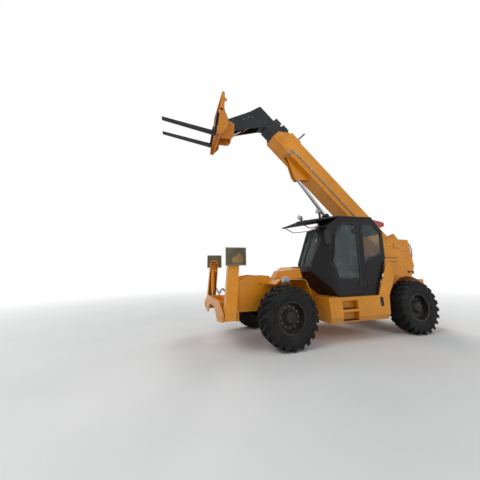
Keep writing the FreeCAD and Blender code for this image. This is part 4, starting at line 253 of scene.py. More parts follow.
ORANGE = (0.715, 0.262, 0.004)
MAT = {
    "paint": coated("orange_paint", ORANGE, rough=0.36, coat=0.12),
    "paint_boom": coated("orange_boom_paint", ORANGE, coat=0.1, dust=0.18, low=0.0, wear=0.3),
    "paint_tool": coated("orange_tool_paint", (0.61, 0.205, 0.009), rough=0.45, dust=0.2,
        low=0.0, wear=0.8),
    "black": coated("black_paint", (0.0085, 0.0085, 0.0095), rough=0.36, vary=0.2, wear=0.35,
        bare=(0.08, 0.075, 0.07), shine=0.2),
    "black_boom": coated("black_boom_paint", (0.0125, 0.0145, 0.018), rough=0.4, vary=0.2,
        dust=0.1, low=0.0, bare=(0.12, 0.115, 0.11), shine=0.26),
    "charcoal": coated("charcoal_panel", (0.0165, 0.0165, 0.018), rough=0.42, vary=0.12,
        dust=0.2, wear=0.2, shine=0.2),
    "rim": coated("rim_paint", (0.009, 0.009, 0.0095), rough=0.42, vary=0.25, dust=0.22,
        bare=(0.1, 0.095, 0.09), shine=0.25),
    "steel": coated("dark_steel", (0.03, 0.029, 0.03), rough=0.45, vary=0.2, dust=0.25,
        wear=0.7, bare=(0.2, 0.19, 0.18), metallic=0.6, shine=0.3),
    "fork": coated("fork_steel", (0.015, 0.016, 0.018), rough=0.42, vary=0.25, dust=0.15,
        low=0.0, wear=0.8, bare=(0.2, 0.19, 0.185), metallic=0.2, shine=0.3),
    "pipe": coated("pipe_steel", (0.33, 0.3, 0.26), rough=0.32, vary=0.15, dust=0.2, low=0.0,
        wear=0.3, metallic=0.9),
    "tilt": coated("tilt_cylinder_paint", (0.34, 0.125, 0.035), rough=0.45, vary=0.2,
        dust=0.25, low=0.0),
    "cast": coated("oily_casting", (0.055, 0.053, 0.05), rough=0.5, vary=0.25, dust=0.5,
        wear=0.4, peel=0.3),
    "zinc": coated("zinc_bolt", (0.27, 0.255, 0.23), rough=0.4, vary=0.1, dust=0.3, wear=0.2,
        metallic=0.85),
    "dull": coated("dull_nut", (0.15, 0.14, 0.13), rough=0.42, vary=0.2, dust=0.3,
        metallic=0.7, bare=(0.3, 0.28, 0.26)),
    "red": coated("faded_red", (0.42, 0.075, 0.075), rough=0.4, vary=0.12, dust=0.3, low=0.0,
        wear=0.2),
    "grey": coated("lamp_grey", (0.25, 0.28, 0.31), rough=0.35, dust=0.3, wear=0.2),
    "pad": coated("foot_pad", (0.42, 0.205, 0.016), rough=0.6, vary=0.4, dust=0.6, low=9.0,
        wear=1.0),
    "pad_base": coated("foot_pad_base", (0.095, 0.084, 0.046), rough=0.62, vary=0.5, low=9.0,
        wear=1.0),
    "pad_rim": coated("foot_pad_rim", (0.155, 0.135, 0.07), rough=0.65, vary=0.4, dust=0.3,
        low=9.0, wear=1.0),
    "weld": coated("painted_weld", (0.62, 0.215, 0.01), rough=0.5, coat=0.1, vary=0.15,
        dust=0.3, wear=0.3),
    # Dark grille mesh; the same dark finish is also painted shade in holes, a slot, a recess and
    # grooves
    "mesh": coated("grille_and_painted_shade", (0.012, 0.012, 0.013), rough=0.6, vary=0.2, dust=0.3,
        wear=0.1),
    "rubber": rubber("tyre_rubber", (0.0085, 0.0085, 0.009)),
    "hose": plastic("hose_rubber", (0.01, 0.01, 0.011), 0.45, 500.0),
    "trim": plastic("black_plastic", (0.012, 0.012, 0.013)),
    "seat": plastic("seat_vinyl", (0.06, 0.06, 0.064), 0.5, 320.0),
    "lens": plastic("lamp_lens", (0.62, 0.66, 0.7), 0.12, 60.0, 0.5),
    "amber": plastic("amber_lens", (0.75, 0.22, 0.01), 0.2, 60.0, 0.5),
    "ruby": plastic("red_lens", (0.4, 0.012, 0.01), 0.2, 60.0, 0.5),
    "chrome": chrome("rod_chrome"),
    "mirror": chrome("mirror_glass"),
    "glass": glass("cab_glass"),
}

# The finish of each CAD node, by its name or else by its ending; the rest is orange
FINISHES = {
    "paint_boom": "boom_outer",
    "black_boom": "boom_second boom_third boom_head",
    "paint_tool": "carriage",
    "fork": "forks",
    "steel": "fork_shaft drive_line steering_cylinders",
    "black": "cab_shell cab_roof front_axle rear_axle lift_cylinder",
    "charcoal": "cab_door",
    "glass": "cab_windows door_glass windscreen",
    "cast": "engine",
    "seat": "seat",
    "trim": "steering_wheel cab_visor mirror wiper",
    "tilt": "tilt_cylinder",
    "pad_base": "left_stabilizer_pad right_stabilizer_pad",
    "grey": "lamps",
    "red": "hose_cover",
    "pipe": "boom_hoses",
}
ENDINGS = {"_tyre": "rubber", "_rim": "rim", "_knuckle": "steel", "_rod": "chrome"}


def finish_of(name):
    named = [finish for finish, nodes in FINISHES.items() if name in nodes.split()]
    named += [finish for ending, finish in ENDINGS.items() if name.endswith(ending)]
    return (named + ["paint"])[0]


for name, node in NODES.items():
    node.data.materials.clear()
    node.data.materials.append(MAT[finish_of(name)])


# Outlines and curves
def turns(count, start=0.0):
    """Angles evenly all round, from start on."""
    return [start + ROUND * k / count for k in range(count)]


def circle(middle, side, other, radius, count):
    return [middle + (side * math.cos(a) + other * math.sin(a)) * radius for a in turns(count)]


def rectangle(u0, v0, u1, v1):
    return ((u0, v0), (u1, v0), (u1, v1), (u0, v1))


def rounded_outline(points, radius, per=5):
    """The outline with its corners rounded, by per steps each."""
    out, count = [], len(points)
    for i, here in enumerate(map(Vector, points)):
        a, b = Vector(points[i - 1]) - here, Vector(points[(i + 1) % count]) - here
        cut = min(radius, a.length * 0.4, b.length * 0.4)
        start, end = here + a.normalized() * cut, here + b.normalized() * cut
        for u in (k / per for k in range(per + 1)):
            out.append(tuple(start * (1 - u) ** 2 + here * 2 * u * (1 - u) + end * u * u))
    return out


def smooth_line(points, per):
    """Points of a curve that passes through the given ones, with per steps between them."""
    ends = [points[0] * 2 - points[1]] + points + [points[-1] * 2 - points[-2]]
    line = []
    for p0, p1, p2, p3 in zip(ends, ends[1:], ends[2:], ends[3:]):
        for u in (k / per for k in range(per)):
            line.append(0.5 * (2 * p1 + (p2 - p0) * u + (2 * p0 - 5 * p1 + 4 * p2 - p3) * u * u
                               + (3 * p1 - p0 - 3 * p2 + p3) * u ** 3))
    return line + [points[-1]]


# Mesh making
class Piece:
    """One object of the visual model: a mesh of many solids, each with its finish."""

    def __init__(self, name, *finishes):
        self.name, self.finishes = name, finishes
        self.bm = bmesh.new()
        self.slot = 0

    def use(self, finish):
        """The finish of the solids that follow."""
        self.slot = self.finishes.index(finish)
        return self

    def loft(self, rings, closed=False):
        """Skin from ring to ring of as many points each; its ends are flat unless it is closed."""
        rows = [[self.bm.verts.new(p) for p in ring] for ring in rings]
        faces = []
        for a, b in zip(rows, rows[1:] + rows[:1] if closed else rows[1:]):
            for i in range(len(a)):
                j = (i + 1) % len(a)
                faces.append(self.bm.faces.new((a[i], a[j], b[j], b[i])))
        if not closed:
            faces += [self.bm.faces.new(rows[0][::-1]), self.bm.faces.new(rows[-1])]
        for face in faces:
            face.material_index = self.slot
        return self

    def layers(self, place, *layers):
        """Skin over outlines (u, v), each with its own x before it."""
        return self.loft([[place(x, u, v) for u, v in outline] for x, outline in layers])

    def plate(self, outline, start, thick):
        """An outline of the side view, extruded along x."""
        return self.layers(at, (start, outline), (start + thick, outline))

    def block(self, low, high):
        """A box between two corners."""
        (x0, y0, z0), (x1, y1, z1) = at(*low), at(*high)
        return self.loft([[(x, y, z) for x, y in rectangle(x0, y0, x1, y1)] for z in (z0, z1)])

    def tube(self, points, radius, sides=10, closed=False):
        """A round bar along the frame's own points; radius may be a list."""
        count = len(points)
        radii = radius if isinstance(radius, list) else [radius] * count
        side, rings = None, []
        for i, p in enumerate(points):
            ahead = points[(i + 1) % count] if closed or i + 1 < count else p
            behind = points[i - 1] if closed or i else p
            run = (ahead - behind).normalized()
            side = (side - run * side.dot(run) if side else run.orthogonal()).normalized()
            rings.append(circle(p, side, run.cross(side), radii[i], sides))
        return self.loft(rings, closed)

    def bar(self, place, a, b, radius, sides=8):
        """A straight round bar from a to b."""
        return self.tube([place(*a), place(*b)], radius, sides)

    def hose(self, place, points, radius, sides=10, per=8):
        """A round hose or pipe along a smooth curve through the points."""
        return self.tube(smooth_line([place(*p) for p in points], per), radius, sides)

    def turned(self, foot, axis, profile, sides=28):
        """A form turned about an axis; its profile's points are (along, radius)."""
        axis = axis.normalized()
        side = axis.orthogonal().normalized()
        other = axis.cross(side)
        return self.loft([circle(foot + axis * along, side, other, r, sides)
                          for along, r in profile])

    def bolt(self, foot, out, r):
        """A washer and a hexagon head of the radius r."""
        self.turned(foot, out, [(-0.002, r * 1.5), (r * 0.25, r * 1.5), (r * 0.25, r * 0.9)], 14)
        return self.turned(foot, out, [(r * 0.2, r), (r, r), (r * 1.15, r * 0.82)], 6)

    def bolts_round(self, middle, out, radius, angles, r):
        for a in angles:
            self.bolt(middle + Vector((0, math.cos(a), math.sin(a))) * radius, out, r)

    def weld(self, place, a, b, radius, step=0.016):
        """A rippled bead from a to b."""
        a, b = place(*a), place(*b)
        count = max(2, int((b - a).length / step))
        return self.tube([a.lerp(b, k / count) for k in range(count + 1)],
                         [radius * (1.0 if k % 2 else 0.8) for k in range(count + 1)], 6)

    def done(self, body, bevel=0.0, smooth=38, replaces=(), segments=2):
        """The finished object, riding on a body of the frame if one is named."""
        bmesh.ops.recalc_face_normals(self.bm, faces=self.bm.faces)
        mesh = bpy.data.meshes.new(self.name)
        self.bm.to_mesh(mesh)
        self.bm.free()
        for finish in self.finishes:
            mesh.materials.append(MAT[finish])
        piece = bpy.data.objects.new(self.name, mesh)
        bpy.context.scene.collection.objects.link(piece)
        mesh.shade_smooth()
        mesh.set_sharp_from_angle(angle=math.radians(smooth))
        if bevel:
            m = piece.modifiers.new("bevel", "BEVEL")
            m.width, m.segments = bevel, segments
            m.limit_method, m.angle_limit = "ANGLE", math.radians(smooth)
            m.harden_normals = True
        if body:
            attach(piece, body)
        if replaces:
            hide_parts(*replaces)
        return piece


# Wheels
WHEELS = (("front_left", 1, -WHEELBASE), ("front_right", -1, -WHEELBASE),
          ("rear_left", 1, 0.0), ("rear_right", -1, 0.0))
# Half section of the tyre, from its bead out to its middle: (across, radius)
SECTION = ((0.1655, 0.2988), (0.168, 0.306), (0.169, 0.32), (0.1705, 0.331),
           (0.178, 0.335), (0.185, 0.337), (0.1895, 0.343), (0.1905, 0.352),
           (0.196, 0.36), (0.201, 0.38), (0.2055, 0.405), (0.2056, 0.409),
           (0.2085, 0.411), (0.209, 0.417), (0.2075, 0.419), (0.21, 0.445),
           (0.2112, 0.47), (0.2105, 0.5), (0.208, 0.525), (0.203, 0.542),
           (0.192, 0.554), (0.17, 0.561), (0.12, 0.569), (0.06, 0.576), (0.0, 0.579))
TYRE_SIDES = 132
# A lug's stations from the middle outward: across, top radius, foot radius, half length on top
LUG = ((-0.004, 0.6165, 0.555, 0.026), (0.014, 0.619, 0.555, 0.029),
       (0.06, 0.6185, 0.552, 0.031), (0.11, 0.616, 0.548, 0.032),
       (0.155, 0.612, 0.54, 0.034), (0.19, 0.607, 0.53, 0.036),
       (0.211, 0.601, 0.52, 0.037), (0.2146, 0.59, 0.512, 0.036),
       (0.2146, 0.545, 0.505, 0.034))
LUGS = 22
LUG_SLOPE = 0.013
LUG_START, LUG_REACH, LUG_WIDTH, LUG_CURVE = -0.073, 0.146, 0.215, 1.12
FIRST_LUG = math.pi - math.asin(0.109 / AXLE_Z)


def tyre(name, side, y):
    """The tyre's body and its two staggered rows of swept lugs."""
    piece = Piece(name + "_tread", "rubber")
    hub = at(side * TRACK_HALF, y, AXLE_Z)
    shift = Matrix.Translation(hub) @ Matrix.Scale(side, 4, X)

    def on_wheel(turn, x, r, angle):
        return turn @ Vector((x, r * math.sin(angle), r * math.cos(angle)))

    profile = list(SECTION) + [(-x, r) for x, r in SECTION[-2::-1]]
    piece.loft([[on_wheel(shift, x, r, a) for x, r in profile] for a in turns(TYRE_SIDES)],
               closed=True)
    for row in (1, -1):
        for angle in turns(LUGS, FIRST_LUG + (0.0 if row > 0 else math.pi / LUGS)):
            turn = shift @ Matrix.Rotation(angle, 4, "X") @ Matrix.Scale(row, 4, X)
            rings = []
            for x, top, foot, half in LUG:
                middle = LUG_START + LUG_REACH * max(0.0, x / LUG_WIDTH) ** LUG_CURVE
                low = half + LUG_SLOPE
                corners = ((foot, -low), (top, -half), (top, half), (foot, low))
                rings.append([on_wheel(turn, x, r, (middle + along) / TREAD_RADIUS)
                              for r, along in corners])
            piece.loft(rings)
    piece.done(name + "_wheel", bevel=0.006, smooth=32, replaces=(name + "_tyre",))


def wheel_fittings(name, side, y):
    """Wheel nuts, the hub's rings, ribs and cap screws, and the valve."""
    piece = Piece(name + "_wheel_nuts", "dull", "rim", "steel")
    out = X * side
    disc = at(side * TRACK_HALF, y, AXLE_Z) + out * 0.058
    nose, nut_ring, screw_ring = 0.087, 0.205, 0.08

    def around(radius, angle, lift):
        return disc + out * lift + Vector((0, math.cos(angle), math.sin(angle))) * radius

    for profile, sides in (
            ([(-0.002, 0.252), (0.01, 0.25), (0.013, 0.245), (0.013, 0.15)], 60),
            ([(-0.004, 0.292), (0.006, 0.29), (0.006, 0.283), (-0.004, 0.28)], 60),
            ([(0.024, 0.152), (0.024, 0.158), (0.034, 0.158), (0.036, 0.15)], 48),
            ([(nose - 0.002, 0.104), (nose + 0.006, 0.102), (nose + 0.008, 0.096),
              (nose + 0.008, 0.03)], 40),
            ([(nose, 0.034), (nose + 0.015, 0.032), (nose + 0.018, 0.026)], 24)):
        piece.use("rim").turned(disc, out, profile, sides)
    for a in turns(3, 0.4):
        piece.tube([around(0.106, a, nose - 0.03), around(0.15, a, 0.03)], 0.014, 8)
    piece.use("dull").bolts_round(disc + out * 0.012, out, nut_ring, turns(12), 0.015)
    for a in turns(12):
        piece.turned(around(nut_ring, a, 0.012), out, [(0.0, 0.007), (0.028, 0.007)], 10)
    piece.tube([around(0.268, 0.9, 0.0), around(0.262, 0.9, 0.032)], 0.005, 8)
    piece.use("steel").bolts_round(disc + out * (nose + 0.007), out, screw_ring,
                                   turns(8, math.pi / 8), 0.008)
    piece.done(name + "_wheel", bevel=0.0015)


# Boom
def boom_fittings():
    """Weld seams, folded lower edges, wear-pad screws, the hole below with a dark oval of painted
    shade inside, the pipes' front ends.
    """
    piece = Piece("boom_seams", "weld", "paint_boom", "zinc", "mesh", "pipe", "hose")
    edge = rectangle(BOOM_TAIL, -0.312, BOOM_END, -0.24)
    edge_foot = rectangle(BOOM_TAIL, -0.322, BOOM_END, -0.228)
    band = ((4.575, 0.2), (4.7, 0.06), (4.812, -0.05), (4.812, -0.215), (4.575, -0.215))
    for side in SIDES:
        wall, roof = side * BOOM_HALF, side * 0.2425
        sunk = wall - side * SINK
        piece.use("weld").weld(on_boom, (wall, BOOM_TAIL, -0.222), (wall, 4.8, -0.222), 0.0045)
        piece.weld(on_boom, (roof, 0.28, 0.262), (roof, 4.1, 0.262), 0.004)
        piece.use("paint_boom").layers(on_boom, (wall + side * 0.009, edge), (sunk, edge_foot))
        piece.layers(on_boom, (wall + side * 0.01, band), (sunk, band))
        piece.use("zinc")
        for s, t in ((4.64, -0.18), (4.64, -0.1), (4.64, 0.04),
                     (4.77, -0.18), (4.77, -0.1), (4.77, -0.045)):
            piece.bolt(on_boom(wall + side * 0.01, s, t), X * side, 0.011)
    # The hole below: an orange rim and, inside it, a dark oval that is painted shade
    for finish, reach, depth in (("paint_boom", 1.22, -0.3145), ("mesh", 1.0, -0.3165)):
        hole = [(0.075 * reach * math.cos(a), 4.035 + 0.115 * reach * math.sin(a))
                for a in turns(32)]
        piece.use(finish).layers(over_boom, (BOOM_FLOOR + SINK, hole), (depth, hole))
    piece.use("pipe")
    for lift, nose in ((-0.132, 4.15), (-0.16, 4.11)):
        piece.hose(on_boom, ((0.263, 4.052, lift), (0.264, nose - 0.02, lift - 0.015),
                             (0.266, nose + 0.02, lift - 0.09), (0.266, nose + 0.025, -0.3),
                             (0.252, nose + 0.02, -0.345), (0.215, nose, -0.352),
                             (0.12, 4.09, -0.346)), 0.0088, per=6)
        piece.bar(on_boom, (0.236, nose + 0.01, -0.35), (0.2, nose - 0.006, -0.352), 0.016, 6)
    piece.use("hose").turned(on_boom(0, 4.26, 0.3), BOOM_UP, [
        (0.0, 0.034), (0.09, 0.034), (0.095, 0.024), (0.585, 0.024), (0.598, 0.014)], 20)
    piece.use("paint_boom")
    for places, half, reach, t0, t1 in (
            ((0.55, 1.45, 2.35, 3.25), 0.23, 0.045, BOOM_FLOOR + SINK, -0.318),
            ((4.16, 4.5), 0.236, 0.012, 0.318, 0.326)):
        for s in places:
            strip = rectangle(-half, s - reach, half, s + reach)
            piece.layers(over_boom, (t0, strip), (t1, strip))
    piece.use("zinc")
    for x in (-0.19, 0.19):
        for s in (4.2, 4.46):
            piece.bolt(on_boom(x, s, 0.32), BOOM_UP, 0.011)
    piece.done("outer_boom", bevel=0.002)


def section_fittings():
    """Collar plates and wear-pad screws on the two sliding sections."""
    for name, node, body, level, front in (
            ("second_pads", "boom_second", "second_boom", 1, 4.89),
            ("third_pads", "boom_third", "third_boom", 2, 5.19)):
        piece = Piece(name, "zinc", "black_boom")
        inset = SECTION_STEP * level
        half, low, high = BOOM_HALF - inset, BOOM_FLOOR + inset, BOOM_ROOF - inset
        for side in SIDES:
            ear = side * (half - 0.022)
            piece.use("black_boom")
            for s in (front - 0.225, front - 0.12, front - 0.015):
                foot, head = (rectangle(0.8 * ear, s - 0.006, end * ear, s + 0.006)
                              for end in (0.98, 0.94))
                piece.layers(over_boom, (high - 0.002, foot), (0.314, head))
            piece.use("zinc")
            for s in (front - 0.18, front - 0.07):
                piece.bolt(on_boom(ear, s, high + 0.035), X * side, 0.01)
            if level == 2:
                for s in (front - 0.225, front - 0.13, front - 0.035):
                    for t in (low + 0.06, 0.02, high - 0.05):
                        piece.bolt(on_boom(side * half, s, t), X * side, 0.009)
                band = rectangle(front - 0.255, low + 0.012, front - 0.008, high - 0.012)
                piece.use("black_boom").layers(on_boom, (side * (half + 0.006), band),
                                               (side * (half - SINK), band))
        piece.done(body, bevel=0.0015)


def head_fittings():
    """Pins, screws, weld seams, the curved slot's rim drawn as a bright zinc arc of painted
    highlight, and the hoses of the bent head.
    """
    piece = Piece("head_fittings", "zinc", "black_boom", "hose", "steel")
    for side in SIDES:
        x, out = side * HEAD_HALF, X * side
        piece.use("zinc")
        for s, t in ((5.778, -0.6), (5.741, -0.42), (5.668, -0.33), (5.47, -0.24),
                     (5.3, -0.12), (5.94, -0.9)):
            piece.bolt(on_boom(x, s, t), out, 0.011)
        # The curved slot's rim round the tool pin, drawn in bright zinc on the black head: a
        # painted highlight
        piece.tube([on_boom(x + side * 0.002, TOOL_PIN[0] + 0.15 * math.cos(a),
                            TOOL_PIN[1] + 0.15 * math.sin(a))
                    for a in (math.radians(20 + 6 * k) for k in range(12))], 0.004, 6)
        piece.use("black_boom").turned(on_boom(x, *TOOL_PIN), out, [
            (-SINK, 0.108), (0.01, 0.105), (0.012, 0.098), (0.012, 0.06)], 40)
        piece.turned(on_boom(x, *TILT_PIN), out, [
            (-SINK, 0.062), (0.008, 0.06), (0.008, 0.04)], 30)
        seam = side * (HEAD_HALF - 0.01)
        piece.weld(on_boom, (seam, 5.205, 0.172), (seam, 5.77, 0.131), 0.004)
    for number, x in enumerate((-0.045, 0.0, 0.045)):
        sag = 0.018 * number
        end = (x * 0.6, 5.52, -0.3)
        piece.use("hose").hose(on_boom, ((x, 5.23, -0.235), (x, 5.36, -0.33 - sag),
                                         (x * 1.2, 5.44, -0.44 - sag), (x * 0.8, 5.5, -0.395),
                                         end), 0.011, per=6)
        piece.use("steel").bar(on_boom, end, (x * 0.6, 5.52, -0.262), 0.015, 6)
        piece.bar(on_boom, (x, 5.205, -0.222), (x, 5.235, -0.24), 0.015, 6)
    piece.done("head_boom", bevel=0.0015)


def cylinder_fittings():
    """Gland rings, ports and feed pipes on the two big cylinders."""
    for name, node, body, base, eye, radius, rod, length in (
            ("lift_fittings", "lift_cylinder", "lift_barrel", at(0, 0.058, 1.06),
             on_boom(0, 3.46, -0.555), 0.092, 0.052, 2.62),
            ("tilt_fittings", "tilt_cylinder", "tilt_barrel", on_boom(0, *TILT_PIN),
             on_boom(0, 5.64, -1.215), 0.058, 0.028, 0.66)):
        piece = Piece(name, "black", "zinc", "steel")
        run = (eye - base).normalized()
        up = X.cross(run).normalized()
        gland = base + run * (length - SINK)
        piece.use("black").turned(gland, run, [
            (-0.09, radius + 0.003), (-0.075, radius + 0.008), (-0.012, radius + 0.008),
            (0.0, radius - 0.004), (0.006, rod + 0.012), (0.01, rod + 0.003)], 40)
        piece.turned(base + run * 0.16, run, [
            (0.0, radius + 0.001), (0.01, radius + 0.007), (0.04, radius + 0.007),
            (0.05, radius + 0.001)], 40)
        for side in SIDES:
            out = (X * side * 0.86 - up * 0.5).normalized()
            foot, head = (base + run * along + out * radius for along in (0.21, length - 0.13))
            piece.use("steel")
            for port in (foot, head):
                piece.tube([port, port + out * 0.022], 0.016, 8)
            if side > 0:
                piece.tube(smooth_line([foot + out * 0.02, foot + out * 0.026 + run * 0.05,
                                        head + out * 0.026 - run * 0.05, head + out * 0.02], 4),
                           0.008, 8)
                piece.use("zinc")
                for share in (0.25, 0.5, 0.75):
                    clamp = foot.lerp(head, share) + out * 0.012
                    piece.tube([clamp - run * 0.014, clamp + run * 0.014], 0.018, 8)
        piece.done(body, bevel=0.0015)


def carriage_fittings():
    """Weld seams, screws and shaft collars on the carriage."""
    piece = Piece("carriage_fittings", "zinc", "paint_tool", "steel")
    pin = on_boom(0, *TOOL_PIN)

    def on_tool(x, u, v):
        """A point u behind the carriage's pin and v above it."""
        return Vector((x, pin.y + u * math.cos(TOOL_ANGLE) + v * math.sin(TOOL_ANGLE),
                       pin.z - u * math.sin(TOOL_ANGLE) + v * math.cos(TOOL_ANGLE)))

    for side in SIDES:
        out = X * side
        piece.use("paint_tool")
        for x, u, v0, v1 in ((0.537, -0.276, -0.6, 0.13), (0.561, -0.276, -0.6, 0.13),
                             (0.197, -0.272, -0.43, 0.12)):
            piece.weld(on_tool, (side * x, u, v0), (side * x, u, v1), 0.005)
        for x in (0.225, 0.409):
            piece.turned(on_tool(side * x, -0.36, 0.12), out, [
                (0.0, 0.044), (0.016, 0.044), (0.018, 0.04)])
        piece.use("zinc")
        for u, v in ((-0.372, 0.64), (-0.34, -0.56), (-0.235, -0.25), (-0.23, -0.12)):
            piece.bolt(on_tool(side * 0.56, u, v), out, 0.012)
        piece.bolt(on_tool(side * 0.207, 0.0, 0.0), out, 0.02)
        piece.use("steel").turned(on_tool(side * 0.56, -0.36, 0.12), out, [
            (-SINK, 0.04), (0.006, 0.039), (0.008, 0.034)])
    piece.done("fork_carriage", bevel=0.0015)


# Chassis
def frame_fittings():
    """Weld seams and pin caps on the frame and the tower; dark discs, strips, a block and a slot as
    painted shade in holes, grooves, a recess and an opening; the box's step treads.
    """
    piece = Piece("chassis_seams", "weld", "zinc", "paint", "steel", "mesh")
    for side in SIDES:
        out = X * side
        piece.use("weld")
        for x0, y0, z0, x1, y1, z1, radius in (
                (0.5, -0.17, 1.131, 0.5, 0.8, 1.131, 0.007),
                (0.426, -0.3, 1.128, 0.426, 0.96, 1.128, 0.005),
                (0.468, 0.93, 1.48, -0.1, 0.93, 1.48, 0.005),
                (0.468, 0.93, 2.04, -0.1, 0.93, 2.04, 0.005),
                (0.426, -4.372, 0.7, 0.426, -4.36, 1.25, 0.006),
                (0.702, -4.905, 0.8, 1.05, -4.905, 0.64, 0.001)):
            piece.weld(at, (side * x0, y0, z0), (side * x1, y1, z1), radius)
        cap = at(side * 0.51, 0.45, 2.2)
        piece.use("paint").turned(cap, out, [(-SINK, 0.088), (0.01, 0.086), (0.012, 0.08)], 40)
        piece.use("zinc").bolts_round(cap + out * 0.01, out, 0.062, turns(4, math.pi / 4), 0.009)
        # Painted shade: dark discs for the tower's holes, a dark block for a shaded recess, two
        # thin dark strips for grooves; then a thin dark line across the tower's side
        piece.use("mesh")
        for y, z in ((0.217, 2.172), (0.819, 2.298), (0.732, 1.833)):
            piece.turned(at(side * 0.495, y, z), out, [
                (-0.01, 0.0195), (0.0035, 0.0195), (0.0035, 0.01)], 20)
        piece.block((side * 0.455, 0.705, 1.385), (side * 0.4695, 1.015, 1.505))
        for y0, y1, z in ((-0.028, 0.441, 1.844), (-0.042, 0.396, 1.728)):
            piece.block((side * 0.494, y0, z + 0.001), (side * 0.4965, y1, z + 0.013))
        piece.hose(at, [(side * 0.499, y, z) for y, z in (
            (0.467, 2.153), (0.56, 2.105), (0.7, 2.05), (0.826, 2.021))], 0.005, 6, per=5)
    # A dark rounded slot on the left side: its opening is painted shade
    slot = rounded_outline(rectangle(-1.204, 0.712, -1.109, 0.918), 0.045, 8)
    inner = rounded_outline(rectangle(-1.198, 0.718, -1.115, 0.912), 0.04, 8)
    piece.layers(at, (1.185, slot), (1.2035, slot), (1.2045, inner), (1.2005, inner))
    piece.use("steel")
    for tread in (0.474, 0.704):
        for y in (-2.24 + 0.0475 * k for k in range(9)):
            piece.block((1.078, y, tread), (1.192, y + 0.016, tread + 0.01))
        for x in (1.09, 1.135, 1.18):
            piece.block((x - 0.004, -2.25, tread - 0.002), (x + 0.004, -1.85, tread + 0.007))
    piece.done("chassis", bevel=0.0012)


def box_panels():
    """The lid on the side box ahead of the cab, with its screws."""
    piece = Piece("side_box_panels", "paint", "dull")
    piece.use("paint").block((0.64, -2.54, 0.949), (1.15, -2.29, 0.957))
    for x in (0.68, 1.11):
        piece.use("dull").bolt(at(x, -2.32, 0.957), Z, 0.008)
    piece.done("chassis", bevel=0.003)


# A stabilizer's hose: x, the way ahead of its port, z
LEG_HOSE = ((0.4, 0.0, 1.06), (0.5, 0.04, 1.11), (0.62, 0.065, 1.04),
            (0.74, 0.07, 0.975), (0.86, 0.08, 1.0), (0.94, 0.11, 1.08),
            (0.986, 0.13, 1.11))


def beam_fittings():
    """Hoses from the frame to the stabilizers, and their ports."""
    ports = Piece("beam_ports", "steel")
    for name, side in (("left", 1), ("right", -1)):
        hoses = Piece(name + "_leg_hoses", "hose")
        for y in (-4.52, -4.488):
            hoses.hose(at, [(side * x, y - ahead, z) for x, ahead, z in LEG_HOSE], 0.01)
            ports.bar(at, (side * 0.396, y, 1.058), (side * 0.42, y - 0.006, 1.072), 0.015, 6)
        piece = hoses.done(None)
        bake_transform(piece)
    ports.done("chassis", bevel=0.0012)


def leg_fittings():
    """Weld beads and pin screws on the legs, the pads' rims and worn paint."""
    leg_foot, leg_length = 0.64, 1.14
    for name, side in (("left", 1), ("right", -1)):
        piece = Piece(name + "_leg_welds", "weld", "zinc")
        for z in (0.76, 1.0, 1.3, 1.6):
            share = (z - leg_foot) / leg_length
            piece.weld(at, (side * 1.136, -4.858 + 0.092 * share, z),
                       (side * 1.136, -4.652 + 0.081 * share, z), 0.0015)
        for y, out in ((-4.752, -Y), (-4.622, Y)):
            piece.use("zinc").bolt(at(side * 1.09, y, 1.833), out, 0.012)
        piece.done(name + "_leg", bevel=0.001)
        piece = Piece(name + "_pad_rim", "pad_rim", "pad")
        for low, high in (((-4.85, 1.655), (-4.43, 1.684)), ((-4.85, 1.981), (-4.43, 2.01)),
                          ((-4.85, 1.684), (-4.822, 1.981)), ((-4.458, 1.684), (-4.43, 1.981))):
            piece.block((side * 1.165, *low), (side * 1.17, *high))
        worn = rounded_outline(((-4.715, 1.712), (-4.5, 1.705), (-4.488, 1.815),
                                (-4.56, 1.925), (-4.64, 1.85), (-4.735, 1.8)), 0.05)
        piece.use("pad").plate(worn, side * 1.165, side * 0.0022)
        piece.done(name + "_foot", bevel=0.001)


def tower_hoses():
    """Hose loops from the tower's rear wall up to the boom's tail, with their ports."""
    piece = Piece("tower_hoses", "hose", "steel", "zinc")
    for number, x in enumerate((0.3, 0.345, 0.39, 0.435)):
        bow = 0.01 * number
        piece.use("hose").hose(at, (
            (x, 0.985, 1.7), (x, 1.05, 1.76), (x, 1.13, 1.96), (x, 1.11 + 0.75 * bow, 2.18),
            (x, 1.01, 2.29 + bow), (x, 0.9, 2.25), (x * 0.8, 0.8, 2.12)), 0.0125)
        piece.use("steel").bar(at, (x, 0.944, 1.668), (x, 0.99, 1.706), 0.018, 6)
    piece.use("zinc").block((0.27, 0.944, 1.64), (0.46, 0.966, 1.72))
    piece.done("chassis", bevel=0.001)


def axle_fittings():
    """Housing rings with their screws, and brake hoses, on both axles."""
    for name, y, nose in (("front_axle", -WHEELBASE, 1), ("rear_axle", 0.0, -1)):
        piece = Piece(name + "_fittings", "steel", "zinc", "hose")
        middle = at(0, y + nose * 0.09, AXLE_Z)
        for side in SIDES:
            out = X * side
            piece.use("steel").turned(middle + out * 0.128, out, [
                (0.0, 0.184), (0.008, 0.182), (0.01, 0.176)], 40)
            piece.use("zinc").bolts_round(middle + out * 0.138, out, 0.16, turns(12), 0.008)
            piece.use("hose").hose(at, (
                (side * 0.3, y, 0.712), (side * 0.45, y - nose * 0.02, 0.735),
                (side * 0.62, y, 0.725), (side * 0.72, y + nose * 0.03, 0.77)), 0.007, 8, per=6)
        piece.done("chassis", bevel=0.001)


# Cab
DOOR_PANE = ((-1.95, 2.625), (-1.505, 2.632), (-1.6, 1.33), (-2.2, 1.33),
             (-2.3, 1.72), (-2.175, 2.35))
QUARTER_PANE = ((-1.345, 2.64), (-1.0, 2.665), (-0.795, 2.43), (-0.815, 1.94),
                (-1.42, 1.7))


